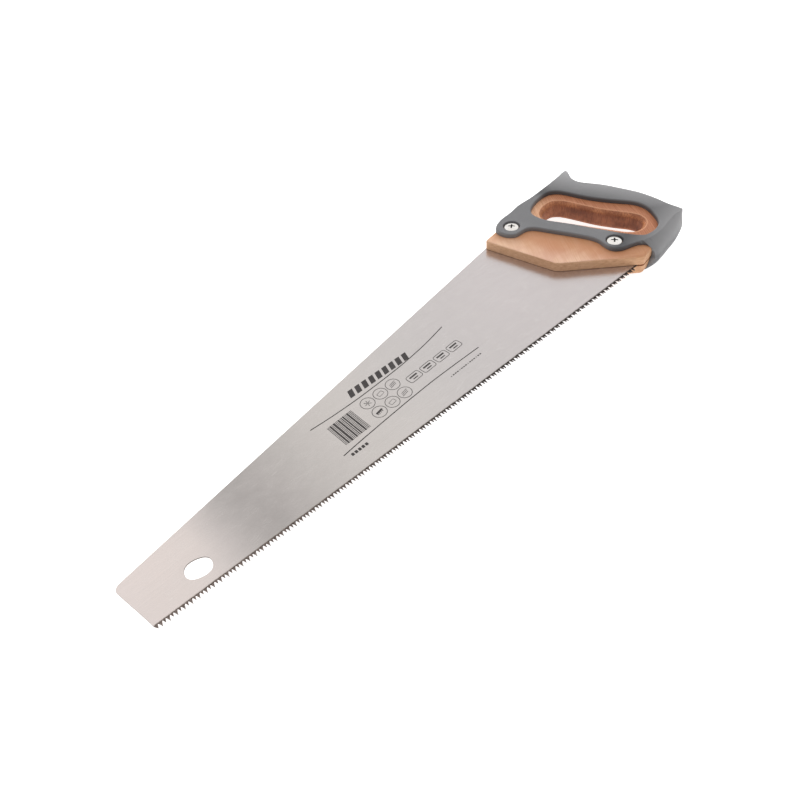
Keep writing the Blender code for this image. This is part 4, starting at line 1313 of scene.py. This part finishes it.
def make_floor():
    """A white floor, tilted a little to touch the grip's -z face and the toe."""
    slope, level_x, drop = -0.02944, -0.099, 0.0006
    middle_x, reach = -0.25, 4.0
    points = []
    for ix in (-1, 0, 1):
        for iy in (-1, 0, 1):
            x = middle_x + ix * reach
            points.append((x, iy * reach, slope * (x - level_x) - drop))
    quads = [(a * 3 + c, (a + 1) * 3 + c, (a + 1) * 3 + c + 1, a * 3 + c + 1)
             for a in range(2) for c in range(2)]
    mesh = bpy.data.meshes.new("floor")
    mesh.from_pydata(points, [], quads)
    floor = bpy.data.objects.new("floor", mesh)
    scene.collection.objects.link(floor)
    material = bpy.data.materials.new("floor_white")
    material.use_nodes = True
    inputs = material.node_tree.nodes["Principled BSDF"].inputs
    inputs["Base Color"].default_value = (0.80, 0.80, 0.80, 1)
    inputs["Roughness"].default_value = 0.9
    inputs["Specular IOR Level"].default_value = 0.05
    inputs["Emission Color"].default_value = (1, 1, 1, 1)
    inputs["Emission Strength"].default_value = 0.80
    mesh.materials.append(material)


def make_world():
    """A soft sky, brightest towards +x, +y and up."""
    world = bpy.data.worlds.new("studio")
    scene.world = world
    world.use_nodes = True
    nodes, links = world.node_tree.nodes, world.node_tree.links
    background = nodes["Background"]
    coordinates = nodes.new('ShaderNodeTexCoord')
    dot = nodes.new('ShaderNodeVectorMath')
    dot.operation = 'DOT_PRODUCT'
    links.new(coordinates.outputs['Generated'], dot.inputs[0])
    dot.inputs[1].default_value = Vector((0.45, 0.62, 0.64)).normalized()
    strength = nodes.new('ShaderNodeMapRange')
    strength.interpolation_type = 'SMOOTHSTEP'
    links.new(dot.outputs['Value'], strength.inputs['Value'])
    for name, value in (('From Min', -0.9), ('From Max', 0.95),
                        ('To Min', 0.42), ('To Max', 0.92)):
        strength.inputs[name].default_value = value
    links.new(strength.outputs['Result'], background.inputs['Strength'])
    background.inputs['Color'].default_value = (1.0, 0.995, 0.99, 1)


def softbox(name, place, target, size, power):
    light = bpy.data.lights.new(name, 'AREA')
    light.shape = 'RECTANGLE'
    light.size, light.size_y = size
    light.energy = power
    ob = bpy.data.objects.new(name, light)
    scene.collection.objects.link(ob)
    ob.location = place
    ob.rotation_mode = 'QUATERNION'
    ob.rotation_quaternion = (Vector(target) - Vector(place)).to_track_quat('-Z', 'Y')
    ob.visible_glossy = False


def make_camera():
    data = bpy.data.cameras.new("camera")
    data.sensor_width = 36.0
    data.lens = 33.62
    data.clip_start, data.clip_end = 0.01, 50.0
    data.shift_x = -0.0003
    camera = bpy.data.objects.new("camera", data)
    scene.collection.objects.link(camera)
    right = Vector((0.741, -0.665, -0.0925))
    up = Vector((0.5316, 0.4969, 0.6859))
    back = Vector((-0.4102, -0.5575, 0.7218))
    # through a quaternion, so that the measured axes become exactly square
    turn = Matrix((right, up, back)).transposed().to_4x4().to_quaternion()
    position = Vector((-0.5052, -0.3610, 0.4001))
    camera.matrix_world = Matrix.Translation(position) @ turn.to_matrix().to_4x4()
    scene.camera = camera


make_floor()
make_world()
softbox("key_softbox", place=(1.05, 1.25, 0.50), target=(-0.05, 0.0, 0.0),
        size=(1.2, 0.7), power=20.0)
softbox("top_softbox", place=(-0.1, 0.1, 1.6), target=(-0.1, 0.0, 0.0),
        size=(1.2, 1.2), power=4.0)
make_camera()
scene.view_settings.view_transform = 'Standard'
scene.view_settings.look = 'None'
